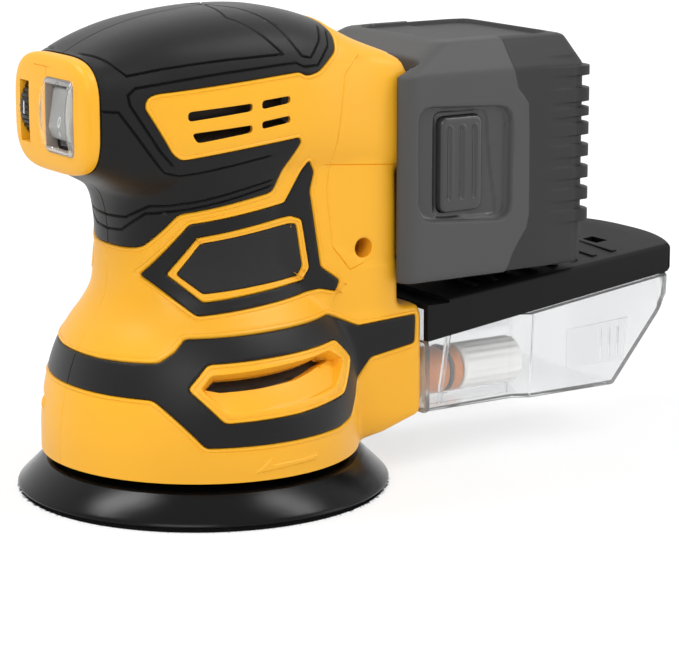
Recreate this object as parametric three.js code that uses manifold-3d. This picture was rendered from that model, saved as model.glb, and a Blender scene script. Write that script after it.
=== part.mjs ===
// Cordless random orbital sander with a clear dust box and a slide-on battery.
// Millimetres, +Z up, +X to the rear, origin on the motor axis at the pad's sanding face.
import * as THREE from 'three';
import { mergeVertices } from 'three/addons/utils/BufferGeometryUtils.js';
import Module from 'manifold-3d';

const wasm = await Module();
wasm.setup();

// Clearances and drawing steps
const fit = 0.3;
const overrun = 1;
const formSides = 28;
const innerSides = 12;
const padSides = 44;
const roundSides = 20;
const smallSides = 10;
const fanSides = 22;
const notchSides = 6;
const bowSteps = 8;

// Housing
const skirtRadius = 55;
const skirtBottom = 14;
const columnHeight = 98;
const headFront = 49;
const headRear = 62;
const headHeight = 63;
const headHalfWidth = 36;
const postRear = 62;
const postHalfWidth = 32.5;
const blockRear = 69;
const blockHalfWidth = 33;
const wall = 3.4;
const rubberDepth = 1.4;
const plateDepth = 0.8;
const pocketDepth = 5;
const pocketWall = 1.6;
const shelfWidth = 12;
const shelfHeight = 2.2;

// Front panel, switch and speed dial
const panelDepth = 4.5;
const panelBulge = 1.6;
const windowWidth = 18.4;
const windowHeight = 24;
const windowCentreY = -8.3;
const switchDepth = 17;
const switchWall = 1.4;
const rockerTilt = 0.12;
const rockerPivotDepth = 9;
const rockerFrontDepth = 4;
const coverWall = 0.9;
const coverBulge = 2.4;
const coverSeat = 2;
const coverSquareness = 8;
const dialRadius = 13.5;
const dialWidth = 5.6;
const dialCentreY = 15.6;
const dialReach = 1.2;
const dialSlotHeight = 19;
const dialNotches = 18;
const dialNotchDepth = 0.6;
const controlWidth = 7.5;
const controlHeight = 13;
const controlDepth = 12;
const controlShaftRadius = 2.2;

// Drive
const orbit = 1.2;
const motorRadius = 22;
const motorLength = 57;
const motorWall = 4;
const motorLidThickness = 6;
const rotorGap = 2;
const rotorLength = 36;
const rotorSlots = 5;
const rotorSlotWidth = 3;
const rotorSlotDepth = 5;
const shaftRadius = 4;
const mountRadius = 38;
const mountThickness = 3;
const motorBearingRadius = 9;
const motorBearingWidth = 5;
const fanRadius = 33;
const fanHeight = 12;
const fanPlate = 2;
const fanBlades = 10;
const fanBladeThickness = 1.6;
const fanHubRadius = 9;
const shroudRadius = 40;
const shroudWall = 2;
const shroudMouthRadius = 31.5;
const weightRadius = 16;
const weightWeb = 4;
const lobeRadius = 29;
const lobeThickness = 6;
const lobeSpreadShare = 0.8;
const bearingRadius = 12;
const bearingHeight = 9;
const bearingChamferShare = 0.12;
const spindleRadius = 5;
const spindleFlangeRadius = 17;
const spindleFlangeThickness = 2.6;

// Pad
const padRadius = 62.5;
const padRidgeRadius = 54.3;
const padHeight = 9.7;
const padLip = 0.9;
const hookThickness = 1.6;
const hookInset = 1;
const dustHoleRadius = 5;
const dustHoleCircle = 32.5;
const dustHoles = 8;
const padScrews = 4;
const padScrewCircle = 12;
const padScrewHeadRadius = 4;
const padScrewHeadHeight = 2.4;
const padScrewRadius = 2;
const padScrewSink = 2.5;
const sealLip = 1.6;
const sealFlange = 3.6;
const sealPadGap = 0.7;

// Dust port and dust box
const portRadius = 8;
const portWall = 1.4;
const portLength = 22.5;
const portCentreY = -16;
const portHeight = 31.3;
const oRingRadius = 1;
const oRingSetback = 4;
const binWall = 1.8;
const binFrontHalfWidth = 31;
const binHalfWidth = 34;
const binBottom = 20.8;
const binFrontLength = 40;
const binStepLength = 4;
const binFloorLength = 80;
const binLength = 113;
const binFlange = 2.4;
const lidTilt = 0.096;
const lidFrontHeight = 59.2;
const lidThickness = 2.2;
const lidSkirtFront = 13;
const lidSkirtRear = 9.6;
const lidSkirtWall = 1.6;
const lidRearBow = 13;
const lidSlotWidth = 5;
const lidSlotLength = 18;
const lidSlotDepth = 1.1;
const lidSlotShares = [[0.24, -0.43, 1], [0.24, 0.43, 1], [0.87, 0, 0.5]];
const filterRadius = 8.3;
const filterWall = 1.3;
const filterLength = 26;

// Battery
const batteryHalfWidth = 38;
const batteryLength = 78;
const batteryCheek = 6;
const batteryBottom = 67.4;
const batteryTop = 147;
const batteryShoulder = 10;
const batteryTopInset = 9;
const batteryWall = 2.2;
const batteryCorner = 7;
const batteryTrimShare = 0.3;
const batterySplit = 51;
const ribPitch = 7.5;
const ribHeight = 3.8;
const ribDepth = 2.6;
const ribCount = 5;
const ribStart = 82.5;
const batteryNotchDepth = 4.5;
const batteryFrontBlock = 8.2;
const railWeb = 3;
const railCentre = 17.5;
const railLip = 6;
const railLipThickness = 2.6;
const railReach = 9.4;
const railBottom = 74;
const railTop = 128;
const terminalHalfWidth = 11;
const terminalBottom = 78;
const terminalTop = 100;
const terminalReach = 2.4;
const bladeHalfSpacing = 5.5;
const bladeThickness = 0.9;
const bladeReach = 5;
const bladeInset = 2;
const contactHeight = 5;
const cellRadius = 9.25;
const cellLength = 65;
const cellPitchX = 19.8;
const cellPitchZ = 22.4;
const cellSetback = 14.4;
const cellFirstZ = 16;
const holderThickness = 8;
const recessFront = 5;
const recessLength = 41;
const recessBottom = 87;
const recessTop = 124;
const recessDepth = 2.6;
const buttonFront = 16;
const buttonLength = 16.5;
const buttonBottom = 89.5;
const buttonTop = 122.5;
const buttonProud = 2.2;
const buttonFlange = 1.4;
const buttonTravel = 2.2;

// Housing screws
const screwHeadRadius = 3.1;
const screwHeadHeight = 2.4;
const screwRadius = 1.6;
const screwSeat = 20;
const screwGrip = 14;
const bossRadius = 4.2;

// Heights and places that follow from the sizes above
const headLength = headFront + headRear;
const headBottomShare = 0.857;
const headBottom = skirtBottom + headBottomShare * columnHeight;
const postFrontShare = 0.13;
const postFront = postFrontShare * postRear;
const postBottomShare = 0.32;
const postBottom = skirtBottom + postBottomShare * columnHeight;
const postTopShare = 1.265;
const postTop = skirtBottom + postTopShare * columnHeight;
const blockFrontShare = 0.29;
const blockFront = blockFrontShare * blockRear;
const blockTopShare = 0.459;
const blockTop = skirtBottom + blockTopShare * columnHeight;
const faceHeightShare = 0.5;
const faceCentreZ = headBottom + faceHeightShare * headHeight;
const padTop = hookThickness + padHeight;

// Farther than any surface: how far a cutting tool reaches
const span = 4 * skirtRadius;

// Section tables: how the outside of the housing swells and narrows.
// Column: height, front, rear and side reach, squareness.
const columnShares = [
  [0, 0.965, 0.965, 0.985, 2],
  [0.12, 0.958, 0.958, 0.995, 2],
  [0.265, 0.909, 0.935, 0.965, 2.05],
  [0.378, 0.838, 0.89, 0.885, 2.1],
  [0.445, 0.77, 0.84, 0.8, 2.15],
  [0.5, 0.7, 0.78, 0.715, 2.2],
  [0.56, 0.646, 0.74, 0.64, 2.25],
  [0.64, 0.627, 0.73, 0.595, 2.3],
  [0.82, 0.625, 0.73, 0.588, 2.3],
  [0.89, 0.655, 0.74, 0.59, 2.3],
  [1, 0.8, 0.8, 0.6, 2.5],
];

// Head: place along it, bottom, top and side reach, squareness.
const headShares = [
  [0, 0.2, 0.8, 0.71, 3.4],
  [0.06, 0.14, 0.855, 0.765, 3.2],
  [0.18, 0.04, 0.93, 0.895, 2.9],
  [0.34, 0, 0.982, 0.975, 2.7],
  [0.513, 0, 1, 1, 2.7],
  [0.66, 0, 0.98, 1, 2.7],
  [0.77, 0, 0.925, 0.96, 2.9],
  [0.88, 0.04, 0.815, 0.91, 4],
  [1, 0.1, 0.72, 0.89, 7],
];

// Rear post that carries the battery: height, rear and side reach, squareness.
const postShares = [
  [0, 0.985, 0.99, 10],
  [0.5, 0.97, 0.985, 12],
  [0.8, 0.97, 0.985, 12],
  [0.93, 1, 1, 12],
  [1, 1.06, 0.99, 12],
];

// Rear block that carries the dust box: height, rear and side reach, squareness.
const blockShares = [
  [0, 0.5, 0.9, 8],
  [0.06, 0.72, 0.97, 12],
  [0.17, 1, 1, 16],
  [0.93, 1, 1, 16],
  [1, 0.99, 0.98, 12],
];

// Side view outlines. Those on the head are shares of its length and height, those on the
// column are shares of the skirt's radius and the column's height.
const gripHeadShares = [
  [0.76, 1.3], [0.775, 0.86], [0.75, 0.774], [0.671, 0.683], [0.627, 0.668], [0.602, 0.692],
  [0.149, 0.628], [0.124, 0.608], [0.117, 0.56], [0.128, 0.527], [0.197, 0.314], [0.223, 0.283],
  [0.599, 0.355], [0.607, 0.331], [0.524, 0.078],
];
const gripNeckShares = [[-0.406, 0.853], [-0.553, 0.739], [-0.6, 0.729], [-1.3, 0.727]];
const gripFrontShares = [[-0.3, 1.3]];
const bandShares = [
  [-1.3, 0.374], [-0.83, 0.376], [-0.625, 0.385], [-0.537, 0.419], [-0.462, 0.46], [0.543, 0.474],
  [0.76, 0.418], [1.189, 0.431], [1.181, 0.33], [0.857, 0.302], [0.6, 0.136], [0.45, 0.122],
  [-0.466, 0.119], [-0.687, 0.271], [-1.3, 0.269],
];
const pocketRimShares = [
  [-0.526, 0.309], [-0.398, 0.385], [0.511, 0.403], [0.66, 0.325], [0.51, 0.227],
  [0.113, 0.207], [-0.36, 0.198],
];
const pocketShares = [
  [-0.463, 0.309], [-0.395, 0.352], [0.432, 0.379], [0.56, 0.335], [0.43, 0.262],
  [0.102, 0.24], [-0.338, 0.228],
];
const frameShares = [
  [-0.57, 0.647], [-0.349, 0.819], [0.252, 0.865], [0.41, 1.002], [0.462, 0.962], [0.431, 0.898],
  [0.506, 0.635], [0.64, 0.582], [0.612, 0.546], [0.499, 0.562], [-0.357, 0.524],
];
const frameRingShares = [
  [-0.466, 0.654], [-0.306, 0.774], [0.291, 0.821], [0.371, 0.806], [0.425, 0.637],
  [0.371, 0.596], [-0.303, 0.564],
];
const plateShares = [
  [-0.421, 0.654], [-0.289, 0.755], [0.296, 0.796], [0.336, 0.791], [0.378, 0.646],
  [0.342, 0.614], [-0.295, 0.59],
];
const ventShares = [
  [[0.238, 0.531], [0.441, 0.553], [0.44, 0.524], [0.238, 0.493]],
  [[0.472, 0.562], [0.566, 0.576], [0.566, 0.55], [0.471, 0.529]],
  [[0.249, 0.421], [0.44, 0.443], [0.44, 0.416], [0.263, 0.38]],
  [[0.471, 0.455], [0.565, 0.475], [0.566, 0.451], [0.472, 0.428]],
];

// Where the housing screws stand and the side they enter from, in the shares of the column or head
const columnScrewShares = [
  { place: [0.816, 0.682], side: -1 },
  { place: [1.02, 0.38], side: 1 },
  { place: [-0.822, 0.16], side: 1 },
];
const headScrewShares = [
  { place: [0.228, 0.736], side: 1 },
  { place: [0.768, 0.643], side: 1 },
  { place: [0.872, 0.379], side: 1 },
];

// Colours and finishes
const finishes = {
  yellow: { color: 0xf2a92b, roughness: 0.42 },
  rubber: { color: 0x1d1d1f, roughness: 0.62 },
  plate: { color: 0x232325, roughness: 0.75 },
  black: { color: 0x141415, roughness: 0.5 },
  darkGrey: { color: 0x3c3c3e, roughness: 0.5 },
  grey: { color: 0x66686a, roughness: 0.48 },
  white: { color: 0xe9e9e6, roughness: 0.6 },
  clear: { color: 0xe6ecee, roughness: 0.1 },
  steel: { color: 0xb4b6ba, roughness: 0.3, metalness: 1 },
  darkSteel: { color: 0x4b4c50, roughness: 0.45, metalness: 1 },
  brass: { color: 0xc9a227, roughness: 0.35, metalness: 1 },
  fabric: { color: 0x101011, roughness: 0.95 },
  cell: { color: 0x2f7f6a, roughness: 0.5 },
};
const materials = Object.fromEntries(
  Object.entries(finishes).map(([name, finish]) => [name, new THREE.MeshStandardMaterial(finish)]),
);

const model = new THREE.Group();

// A closed geometry as a solid that can be joined and cut
function solid(geometry) {
  geometry.deleteAttribute('normal');
  geometry.deleteAttribute('uv');
  const merged = mergeVertices(geometry, 1e-4);
  const corners = merged.attributes.position;
  const triangles = [];
  let volume = 0;
  const a = new THREE.Vector3();
  const b = new THREE.Vector3();
  const c = new THREE.Vector3();
  for (let at = 0; at < merged.index.count; at += 3) {
    const [i, j, k] = [0, 1, 2].map((step) => merged.index.getX(at + step));
    if (i !== j && j !== k && k !== i) {
      triangles.push([i, j, k]);
      a.fromBufferAttribute(corners, i);
      b.fromBufferAttribute(corners, j);
      c.fromBufferAttribute(corners, k);
      volume += a.dot(b.cross(c));
    }
  }
  const facing = volume < 0 ? triangles.map(([i, j, k]) => [i, k, j]) : triangles;
  return new wasm.Manifold(new wasm.Mesh({
    numProp: 3,
    vertProperties: new Float32Array(corners.array),
    triVerts: new Uint32Array(facing.flat()),
  }));
}

function join(...parts) {
  return parts.reduce((whole, part) => whole.add(part));
}

function cut(body, ...tools) {
  return tools.reduce((whole, tool) => whole.subtract(tool), body);
}

function piece(name, body, finish) {
  const mesh = body.getMesh();
  const geometry = new THREE.BufferGeometry();
  geometry.setAttribute('position', new THREE.BufferAttribute(mesh.vertProperties, 3));
  geometry.setIndex(new THREE.BufferAttribute(mesh.triVerts, 1));
  geometry.computeVertexNormals();
  const node = new THREE.Mesh(geometry, materials[finish]);
  node.name = name;
  model.add(node);
}

function box([x0, x1], [y0, y1], [z0, z1]) {
  const geometry = new THREE.BoxGeometry(x1 - x0, y1 - y0, z1 - z0);
  return solid(geometry.translate((x0 + x1) / 2, (y0 + y1) / 2, (z0 + z1) / 2));
}

const turns = {
  x: new THREE.Matrix4().makeRotationZ(-Math.PI / 2),
  y: new THREE.Matrix4(),
  z: new THREE.Matrix4().makeRotationX(Math.PI / 2),
};

// A cylinder along one axis, through a centre given for the other two
function rod(axis, radius, [from, to], centre, sides = roundSides) {
  const geometry = new THREE.CylinderGeometry(radius, radius, to - from, sides);
  const place = new THREE.Vector3(...centre);
  place[axis] = (from + to) / 2;
  return solid(geometry.applyMatrix4(turns[axis]).translate(place.x, place.y, place.z));
}

// A body of revolution about an upright axis, from points of radius and height
function lathe(profile, sides = roundSides, centreX = 0) {
  const points = profile.map(([radius, height]) => new THREE.Vector2(radius, height));
  const geometry = new THREE.LatheGeometry(points, sides);
  return solid(geometry.rotateX(Math.PI / 2).translate(centreX, 0, 0));
}

const drawings = {
  x: new THREE.Matrix4().set(0, 0, 1, 0, 1, 0, 0, 0, 0, 1, 0, 0, 0, 0, 0, 1),
  y: new THREE.Matrix4().set(1, 0, 0, 0, 0, 0, 1, 0, 0, 1, 0, 0, 0, 0, 0, 1),
  z: new THREE.Matrix4(),
};

// An outline drawn square to one axis and drawn out along it
function prism(axis, outline, [from, to]) {
  const shape = new THREE.Shape(outline.map(([across, up]) => new THREE.Vector2(across, up)));
  const geometry = new THREE.ExtrudeGeometry(shape, { depth: to - from, bevelEnabled: false });
  return solid(geometry.translate(0, 0, from).applyMatrix4(drawings[axis]));
}

// An outline with each edge moved outwards by the same distance
function grow(outline, distance) {
  const shape = outline.map(([across, up]) => new THREE.Vector2(across, up));
  const outward = THREE.ShapeUtils.isClockWise(shape) ? -distance : distance;
  return shape.map((corner, at) => {
    const before = shape[(at + shape.length - 1) % shape.length];
    const after = shape[(at + 1) % shape.length];
    const arriving = corner.clone().sub(before).normalize();
    const leaving = after.clone().sub(corner).normalize();
    const middle = new THREE.Vector2(arriving.y + leaving.y, -arriving.x - leaving.x);
    const reach = outward / (1 + arriving.dot(leaving));
    return [corner.x + middle.x * reach, corner.y + middle.y * reach];
  });
}

function signedPower(value, power) {
  return Math.sign(value) * Math.abs(value) ** power;
}

// A rounded section between an ellipse and a rectangle
function ring(halfAcross, halfUp, squareness, sides = formSides) {
  return Array.from({ length: sides }, (_, step) => {
    const angle = (2 * Math.PI * step) / sides;
    return [
      halfAcross * signedPower(Math.cos(angle), 2 / squareness),
      halfUp * signedPower(Math.sin(angle), 2 / squareness),
    ];
  });
}

// A solid skinned over rings of points, closed by a fan at each end
function loft(rings) {
  const count = rings[0].length;
  const points = rings.flat();
  const index = [];
  for (let level = 0; level < rings.length - 1; level += 1) {
    for (let step = 0; step < count; step += 1) {
      const near = level * count + step;
      const next = level * count + ((step + 1) % count);
      index.push(near, next, next + count, near, next + count, near + count);
    }
  }
  [rings[0], rings.at(-1)].forEach((end, side) => {
    const first = side * (rings.length - 1) * count;
    const hub = points.length;
    points.push(end.reduce((sum, point) => sum.add(point), new THREE.Vector3()).divideScalar(count));
    for (let step = 0; step < count; step += 1) {
      const near = first + step;
      const next = first + ((step + 1) % count);
      index.push(hub, side ? near : next, side ? next : near);
    }
  });
  const geometry = new THREE.BufferGeometry().setFromPoints(points);
  return solid(geometry.setIndex(index));
}

// Inner forms need fewer sides than the outside
function sidesAt(depth) {
  return depth > 0 ? innerSides : formSides;
}

// The column, with its skin moved in by a depth that may change with height
function columnForm(depthAt) {
  const sides = sidesAt(depthAt(1));
  return loft(columnShares.map(([height, front, rear, side, squareness]) => {
    const depth = depthAt(height);
    const opening = height === 0 && depth > 0 ? overrun : 0;
    const x0 = depth - front * skirtRadius;
    const x1 = rear * skirtRadius - depth;
    const z = skirtBottom + height * columnHeight - opening;
    return ring((x1 - x0) / 2, side * skirtRadius - depth, squareness, sides)
      .map(([across, up]) => new THREE.Vector3((x0 + x1) / 2 + across, up, z));
  }));
}

function headForm(depth) {
  return loft(headShares.map(([along, bottom, top, side, squareness]) => {
    const opening = along === 0 && depth > 0 ? overrun : 0;
    const closing = along === 1 ? depth : 0;
    const x = along * headLength - headFront - opening - closing;
    const z0 = headBottom + bottom * headHeight + depth;
    const z1 = headBottom + top * headHeight - depth;
    return ring(side * headHalfWidth - depth, (z1 - z0) / 2, squareness, sidesAt(depth))
      .map(([across, up]) => new THREE.Vector3(x, across, (z0 + z1) / 2 + up));
  }));
}

function uprightForm(shares, [front, rear], halfWidth, [bottom, top], depth) {
  return loft(shares.map(([height, reach, side, squareness]) => {
    const x0 = front + depth;
    const x1 = front + reach * (rear - front) - depth;
    const rise = depth * ((height === 0) - (height === 1));
    const z = bottom + height * (top - bottom) + rise;
    return ring((x1 - x0) / 2, side * halfWidth - depth, squareness, sidesAt(depth))
      .map(([across, up]) => new THREE.Vector3((x0 + x1) / 2 + across, up, z));
  }));
}

// The whole outside of the housing, moved in by a depth
function housingForm(depth) {
  return join(
    columnForm(() => depth),
    headForm(depth),
    uprightForm(postShares, [postFront, postRear], postHalfWidth, [postBottom, postTop], depth),
    uprightForm(blockShares, [blockFront, blockRear], blockHalfWidth, [skirtBottom, blockTop], depth),
  );
}

function onHead(shares) {
  return shares.map(([along, up]) => [along * headLength - headFront, headBottom + up * headHeight]);
}

function onColumn(shares) {
  return shares.map(([along, up]) => [along * skirtRadius, skirtBottom + up * columnHeight]);
}

function through(outline, reach = [-span, span]) {
  return prism('y', outline, reach);
}

const leftSide = box([-span, span], [-span, 0], [-span, span]);
const rightSide = box([-span, span], [0, span], [-span, span]);

// Each body that is split on the middle plane gives a left and a right piece
function halves(name, body, finish) {
  piece(`left_${name}`, body.intersect(leftSide), finish);
  piece(`right_${name}`, body.intersect(rightSide), finish);
}

// Housing pieces
const skin = housingForm(0);
const rubberBack = housingForm(rubberDepth);
const rubberBed = housingForm(rubberDepth + fit);
const gripOutline = [...onHead(gripHeadShares), ...onColumn(gripNeckShares), ...onHead(gripFrontShares)];

// A piece let into the housing's surface, and the bed that the shell keeps for it
function inlay(outline, hole, back) {
  const reach = through(outline);
  const shape = hole ? cut(reach, through(hole)) : reach;
  return cut(skin.intersect(shape), back, ...screwPlaces().map(screwEntry));
}

function inlayBed(outline, hole, bed) {
  const reach = through(grow(outline, fit));
  const shape = hole ? cut(reach, through(grow(hole, -fit))) : reach;
  return cut(shape, bed);
}

function screwPlaces() {
  return [
    ...columnScrewShares.map(({ place, side }) => ({ centre: onColumn([place])[0], side })),
    ...headScrewShares.map(({ place, side }) => ({ centre: onHead([place])[0], side })),
  ];
}

// Upright levels of the drive, from the pad to the motor
const flangeBottom = padTop + fit;
const flangeTop = flangeBottom + spindleFlangeThickness;
const bearingBottom = flangeTop + fit;
const bearingTop = bearingBottom + bearingHeight;
const weightTop = bearingTop + fit + weightWeb;
const lowerShelfTop = skirtBottom + fit + sealFlange + 2 * shelfHeight;
const shroudBottom = lowerShelfTop + fit;
const fanBottom = weightTop + fit;
const fanTop = fanBottom + fanHeight;
const shroudTop = fanTop + fit + shroudWall;
const upperShelfTop = shroudTop + fit + shelfHeight;
const mountTop = upperShelfTop + fit + mountThickness;
const motorBottom = mountTop + fit;
const motorTop = motorBottom + motorLength;
const shelfMouth = shroudRadius - shelfWidth / 3;
const faceX = -headFront;

function shelf(top) {
  const slab = rod('z', span, [top - shelfHeight, top], [0, 0, 0]);
  const mouth = rod('z', shelfMouth, [skirtBottom - overrun, top + overrun], [0, 0, 0]);
  return cut(slab.intersect(housingForm(wall / 2)), mouth);
}

function screwBosses() {
  return join(...screwPlaces().map(({ centre: [x, z] }) => (
    rod('y', bossRadius, [-span, span], [x, 0, z], smallSides)
  ))).intersect(housingForm(wall / 2));
}

// A reach from the middle plane on one side of it, as a rising pair
function aside(side, ...reach) {
  return reach.map((distance) => side * distance).sort((a, b) => a - b);
}

function screwEntry({ centre: [x, z], side }) {
  return rod('y', screwHeadRadius + fit, aside(side, screwSeat - fit, span), [x, 0, z], smallSides);
}

function screwHole(place) {
  const [x, z] = place.centre;
  const reach = aside(place.side, screwSeat, -screwGrip - fit);
  return join(screwEntry(place), rod('y', screwRadius + fit, reach, [x, 0, z], smallSides));
}

function pocketDepthAt(height) {
  const low = pocketShares.at(-1)[1];
  const high = pocketShares[2][1];
  const rise = THREE.MathUtils.clamp((height - low) / (high - low), 0, 1);
  return pocketDepth * rise + fit;
}

function rails() {
  const height = [railBottom, railTop];
  const inner = railCentre - railWeb / 2;
  const outer = railCentre + railWeb / 2;
  const end = postRear + railReach;
  return join(...[-1, 1].flatMap((side) => [
    box([postRear - wall, end], aside(side, inner, outer), height),
    box([end - railLipThickness, end], aside(side, inner, outer + railLip), height),
  ]));
}

function terminalPocket(gap) {
  return box(
    [postRear - wall - overrun, postRear + terminalReach + gap],
    [-terminalHalfWidth - gap, terminalHalfWidth + gap],
    [terminalBottom - gap, terminalTop + gap],
  );
}

function shells() {
  const pocketFloor = columnForm(pocketDepthAt);
  const pocketLining = cut(through(grow(onColumn(pocketShares), pocketWall)), columnForm((height) => (
    pocketDepthAt(height) + pocketWall
  ))).intersect(columnForm(() => wall / 2));
  const whole = join(
    cut(skin, housingForm(wall)),
    shelf(lowerShelfTop),
    shelf(upperShelfTop),
    screwBosses(),
    cut(pocketLining, box([-span, span], [-shroudRadius / 2, shroudRadius / 2], [0, span])),
    rails(),
  );
  return cut(
    whole,
    inlayBed(gripOutline, null, rubberBed),
    inlayBed(onColumn(bandShares), onColumn(pocketRimShares), rubberBed),
    inlayBed(onColumn(frameShares), onColumn(frameRingShares), rubberBed),
    inlayBed(onColumn(plateShares), null, housingForm(plateDepth + fit)),
    cut(through(onColumn(pocketShares)), pocketFloor),
    ...ventShares.map((slot) => through(onHead(slot))),
    ...screwPlaces().map(screwHole),
    rod('x', portRadius + fit, [blockRear / 2, span], [0, portCentreY, portHeight]),
    rod('z', shroudRadius + fit, [shroudBottom - fit, shroudTop + fit], [0, 0, 0]),
    rod('z', mountRadius + fit, [upperShelfTop, mountTop], [0, 0, 0]),
    terminalPocket(fit),
  );
}

halves('shell', shells(), 'yellow');
halves('grip', inlay(gripOutline, null, rubberBack), 'rubber');
halves('band', inlay(onColumn(bandShares), onColumn(pocketRimShares), rubberBack), 'rubber');
halves('frame', inlay(onColumn(frameShares), onColumn(frameRingShares), rubberBack), 'rubber');
halves('plate', inlay(onColumn(plateShares), null, housingForm(plateDepth)), 'plate');

function housingScrew({ centre: [x, z], side }) {
  const head = aside(side, screwSeat, screwSeat + screwHeadHeight);
  const shank = aside(side, screwSeat + overrun, -screwGrip);
  return join(
    rod('y', screwHeadRadius, head, [x, 0, z], smallSides),
    rod('y', screwRadius, shank, [x, 0, z], smallSides),
  );
}

screwPlaces().forEach((place, number) => {
  piece(`housing_screw_${number + 1}`, housingScrew(place), 'darkSteel');
});

// Front panel with the switch window and the dial's slot
const windowSpanY = [windowCentreY - windowWidth / 2, windowCentreY + windowWidth / 2];
const windowSpanZ = [faceCentreZ - windowHeight / 2, faceCentreZ + windowHeight / 2];
const dialX = faceX - panelDepth - panelBulge - dialReach + dialRadius + overrun;
const dialSpanY = [dialCentreY - dialWidth / 2, dialCentreY + dialWidth / 2];

function inward([low, high], depth) {
  return [low + depth, high - depth];
}

function frontPanel() {
  const [, bottom, top, side, squareness] = headShares[0];
  const halfHeight = ((top - bottom) * headHeight) / 2;
  const layerShares = [[0, 1], [0.7, 1], [0.9, 0.975], [1, 0.93]];
  const plateRings = layerShares.map(([along, size]) => (
    ring(side * headHalfWidth * size, halfHeight * size, squareness)
      .map(([across, up]) => new THREE.Vector3(faceX - fit - along * panelDepth, across, faceCentreZ + up))
  ));
  const bulgeShares = [[0.4, 0.8], [0.8, 0.5], [1, 0.2]];
  const bulgeRings = bulgeShares.map(([along, size]) => (
    ring(side * headHalfWidth * size, halfHeight * size, squareness)
      .map(([across, up]) => (
        new THREE.Vector3(faceX - fit - panelDepth - along * panelBulge, across, faceCentreZ + up)))
  ));
  return cut(
    loft([...plateRings, ...bulgeRings]),
    box([-span, 0], windowSpanY, windowSpanZ),
    box([-span, 0], inward(dialSpanY, -fit), inward([faceCentreZ, faceCentreZ], -dialSlotHeight / 2)),
    rod('y', dialRadius + 2 * fit, inward(dialSpanY, -fit), [dialX, 0, faceCentreZ]),
  );
}

piece('front_panel', frontPanel(), 'yellow');

// Switch: a body behind the window, a rocker in it and a clear cover that bulges forward
const switchSpanY = inward(windowSpanY, fit);
const switchSpanZ = inward(windowSpanZ, fit);
const switchFront = faceX - coverSeat;

function switchBody() {
  const back = switchFront + switchDepth;
  return cut(
    box([switchFront, back], switchSpanY, switchSpanZ),
    box([-span, back - switchWall], inward(switchSpanY, switchWall), inward(switchSpanZ, switchWall)),
  );
}

function switchRocker() {
  const halfHeight = windowHeight / 2 - 2 * switchWall - 2 * fit;
  const pivotX = switchFront + rockerPivotDepth;
  const frontX = switchFront + rockerFrontDepth;
  const outline = [
    [frontX, halfHeight], [frontX + rockerTilt * halfHeight, 0], [frontX, -halfHeight],
    [pivotX, -halfHeight], [pivotX + rockerPivotDepth / 3, 0], [pivotX, halfHeight],
  ];
  const shape = prism('y', outline, inward(switchSpanY, switchWall + fit));
  const geometry = new THREE.BufferGeometry();
  const mesh = shape.getMesh();
  geometry.setAttribute('position', new THREE.BufferAttribute(mesh.vertProperties, 3));
  geometry.setIndex(new THREE.BufferAttribute(mesh.triVerts, 1));
  geometry.translate(-pivotX, 0, 0).rotateY(rockerTilt).translate(pivotX, 0, faceCentreZ);
  return solid(geometry);
}

function coverShell(depth) {
  const bulgeShares = [[0, 1], [0.35, 0.985], [0.75, 0.9], [1, 0.7]];
  const start = switchFront - fit + (depth > 0 ? overrun : 0);
  const reach = panelDepth - coverSeat + panelBulge + coverBulge - depth;
  const halfWidth = windowWidth / 2 - fit - depth;
  const halfHeight = windowHeight / 2 - fit - depth;
  const centre = new THREE.Vector3(start, windowCentreY, faceCentreZ);
  return loft(bulgeShares.map(([along, size]) => (
    ring(halfWidth * size, halfHeight * size, coverSquareness, innerSides)
      .map(([across, up]) => new THREE.Vector3(-along * reach, across, up).add(centre))
  )));
}

piece('switch_body', switchBody(), 'black');
piece('switch_rocker', switchRocker(), 'black');
piece('switch_cover', cut(coverShell(0), coverShell(coverWall)), 'clear');

// Speed dial on the shaft of its control
function speedDial() {
  const notches = Array.from({ length: dialNotches }, (_, at) => {
    const angle = (2 * Math.PI * at) / dialNotches;
    const reach = dialRadius + dialNotchDepth;
    const place = [dialX + reach * Math.cos(angle), 0, faceCentreZ + reach * Math.sin(angle)];
    return rod('y', 2 * dialNotchDepth, [-span, span], place, notchSides);
  });
  return cut(
    rod('y', dialRadius, dialSpanY, [dialX, 0, faceCentreZ], 2 * dialNotches),
    rod('y', controlShaftRadius + fit, [-span, span], [dialX, 0, faceCentreZ], smallSides),
    ...notches,
  );
}

function speedControl() {
  const y1 = dialSpanY[0] - 2 * fit;
  const spanZ = inward([faceCentreZ, faceCentreZ], -controlHeight / 2);
  return join(
    box([faceX, faceX + controlDepth], [y1 - controlWidth, y1], spanZ),
    rod('y', controlShaftRadius, [y1 - overrun, dialSpanY[1] + fit], [dialX, 0, faceCentreZ], smallSides),
  );
}

piece('speed_dial', speedDial(), 'black');
piece('speed_control', speedControl(), 'darkGrey');

// Motor: a can on a mount plate, closed on top, with a bearing at each end of the shaft
function motorCase() {
  const room = motorRadius - motorWall;
  const inner = [motorBottom + motorLidThickness, motorTop - motorLidThickness];
  const topSeat = [inner[1] - overrun, motorTop - motorLidThickness + motorBearingWidth];
  return cut(
    rod('z', motorRadius, [motorBottom, motorTop], [0, 0, 0]),
    rod('z', room, inner, [0, 0, 0]),
    rod('z', motorBearingRadius + fit, [motorBottom - overrun, inner[0] + overrun], [0, 0, 0]),
    rod('z', motorBearingRadius + fit, topSeat, [0, 0, 0]),
  );
}

function bearing(radius, bore, [bottom, top], centreX = 0) {
  const chamfer = (radius - bore) * bearingChamferShare;
  return lathe([
    [bore, bottom], [radius - chamfer, bottom], [radius, bottom + chamfer],
    [radius, top], [bore, top], [bore, bottom],
  ], roundSides, centreX);
}

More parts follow.
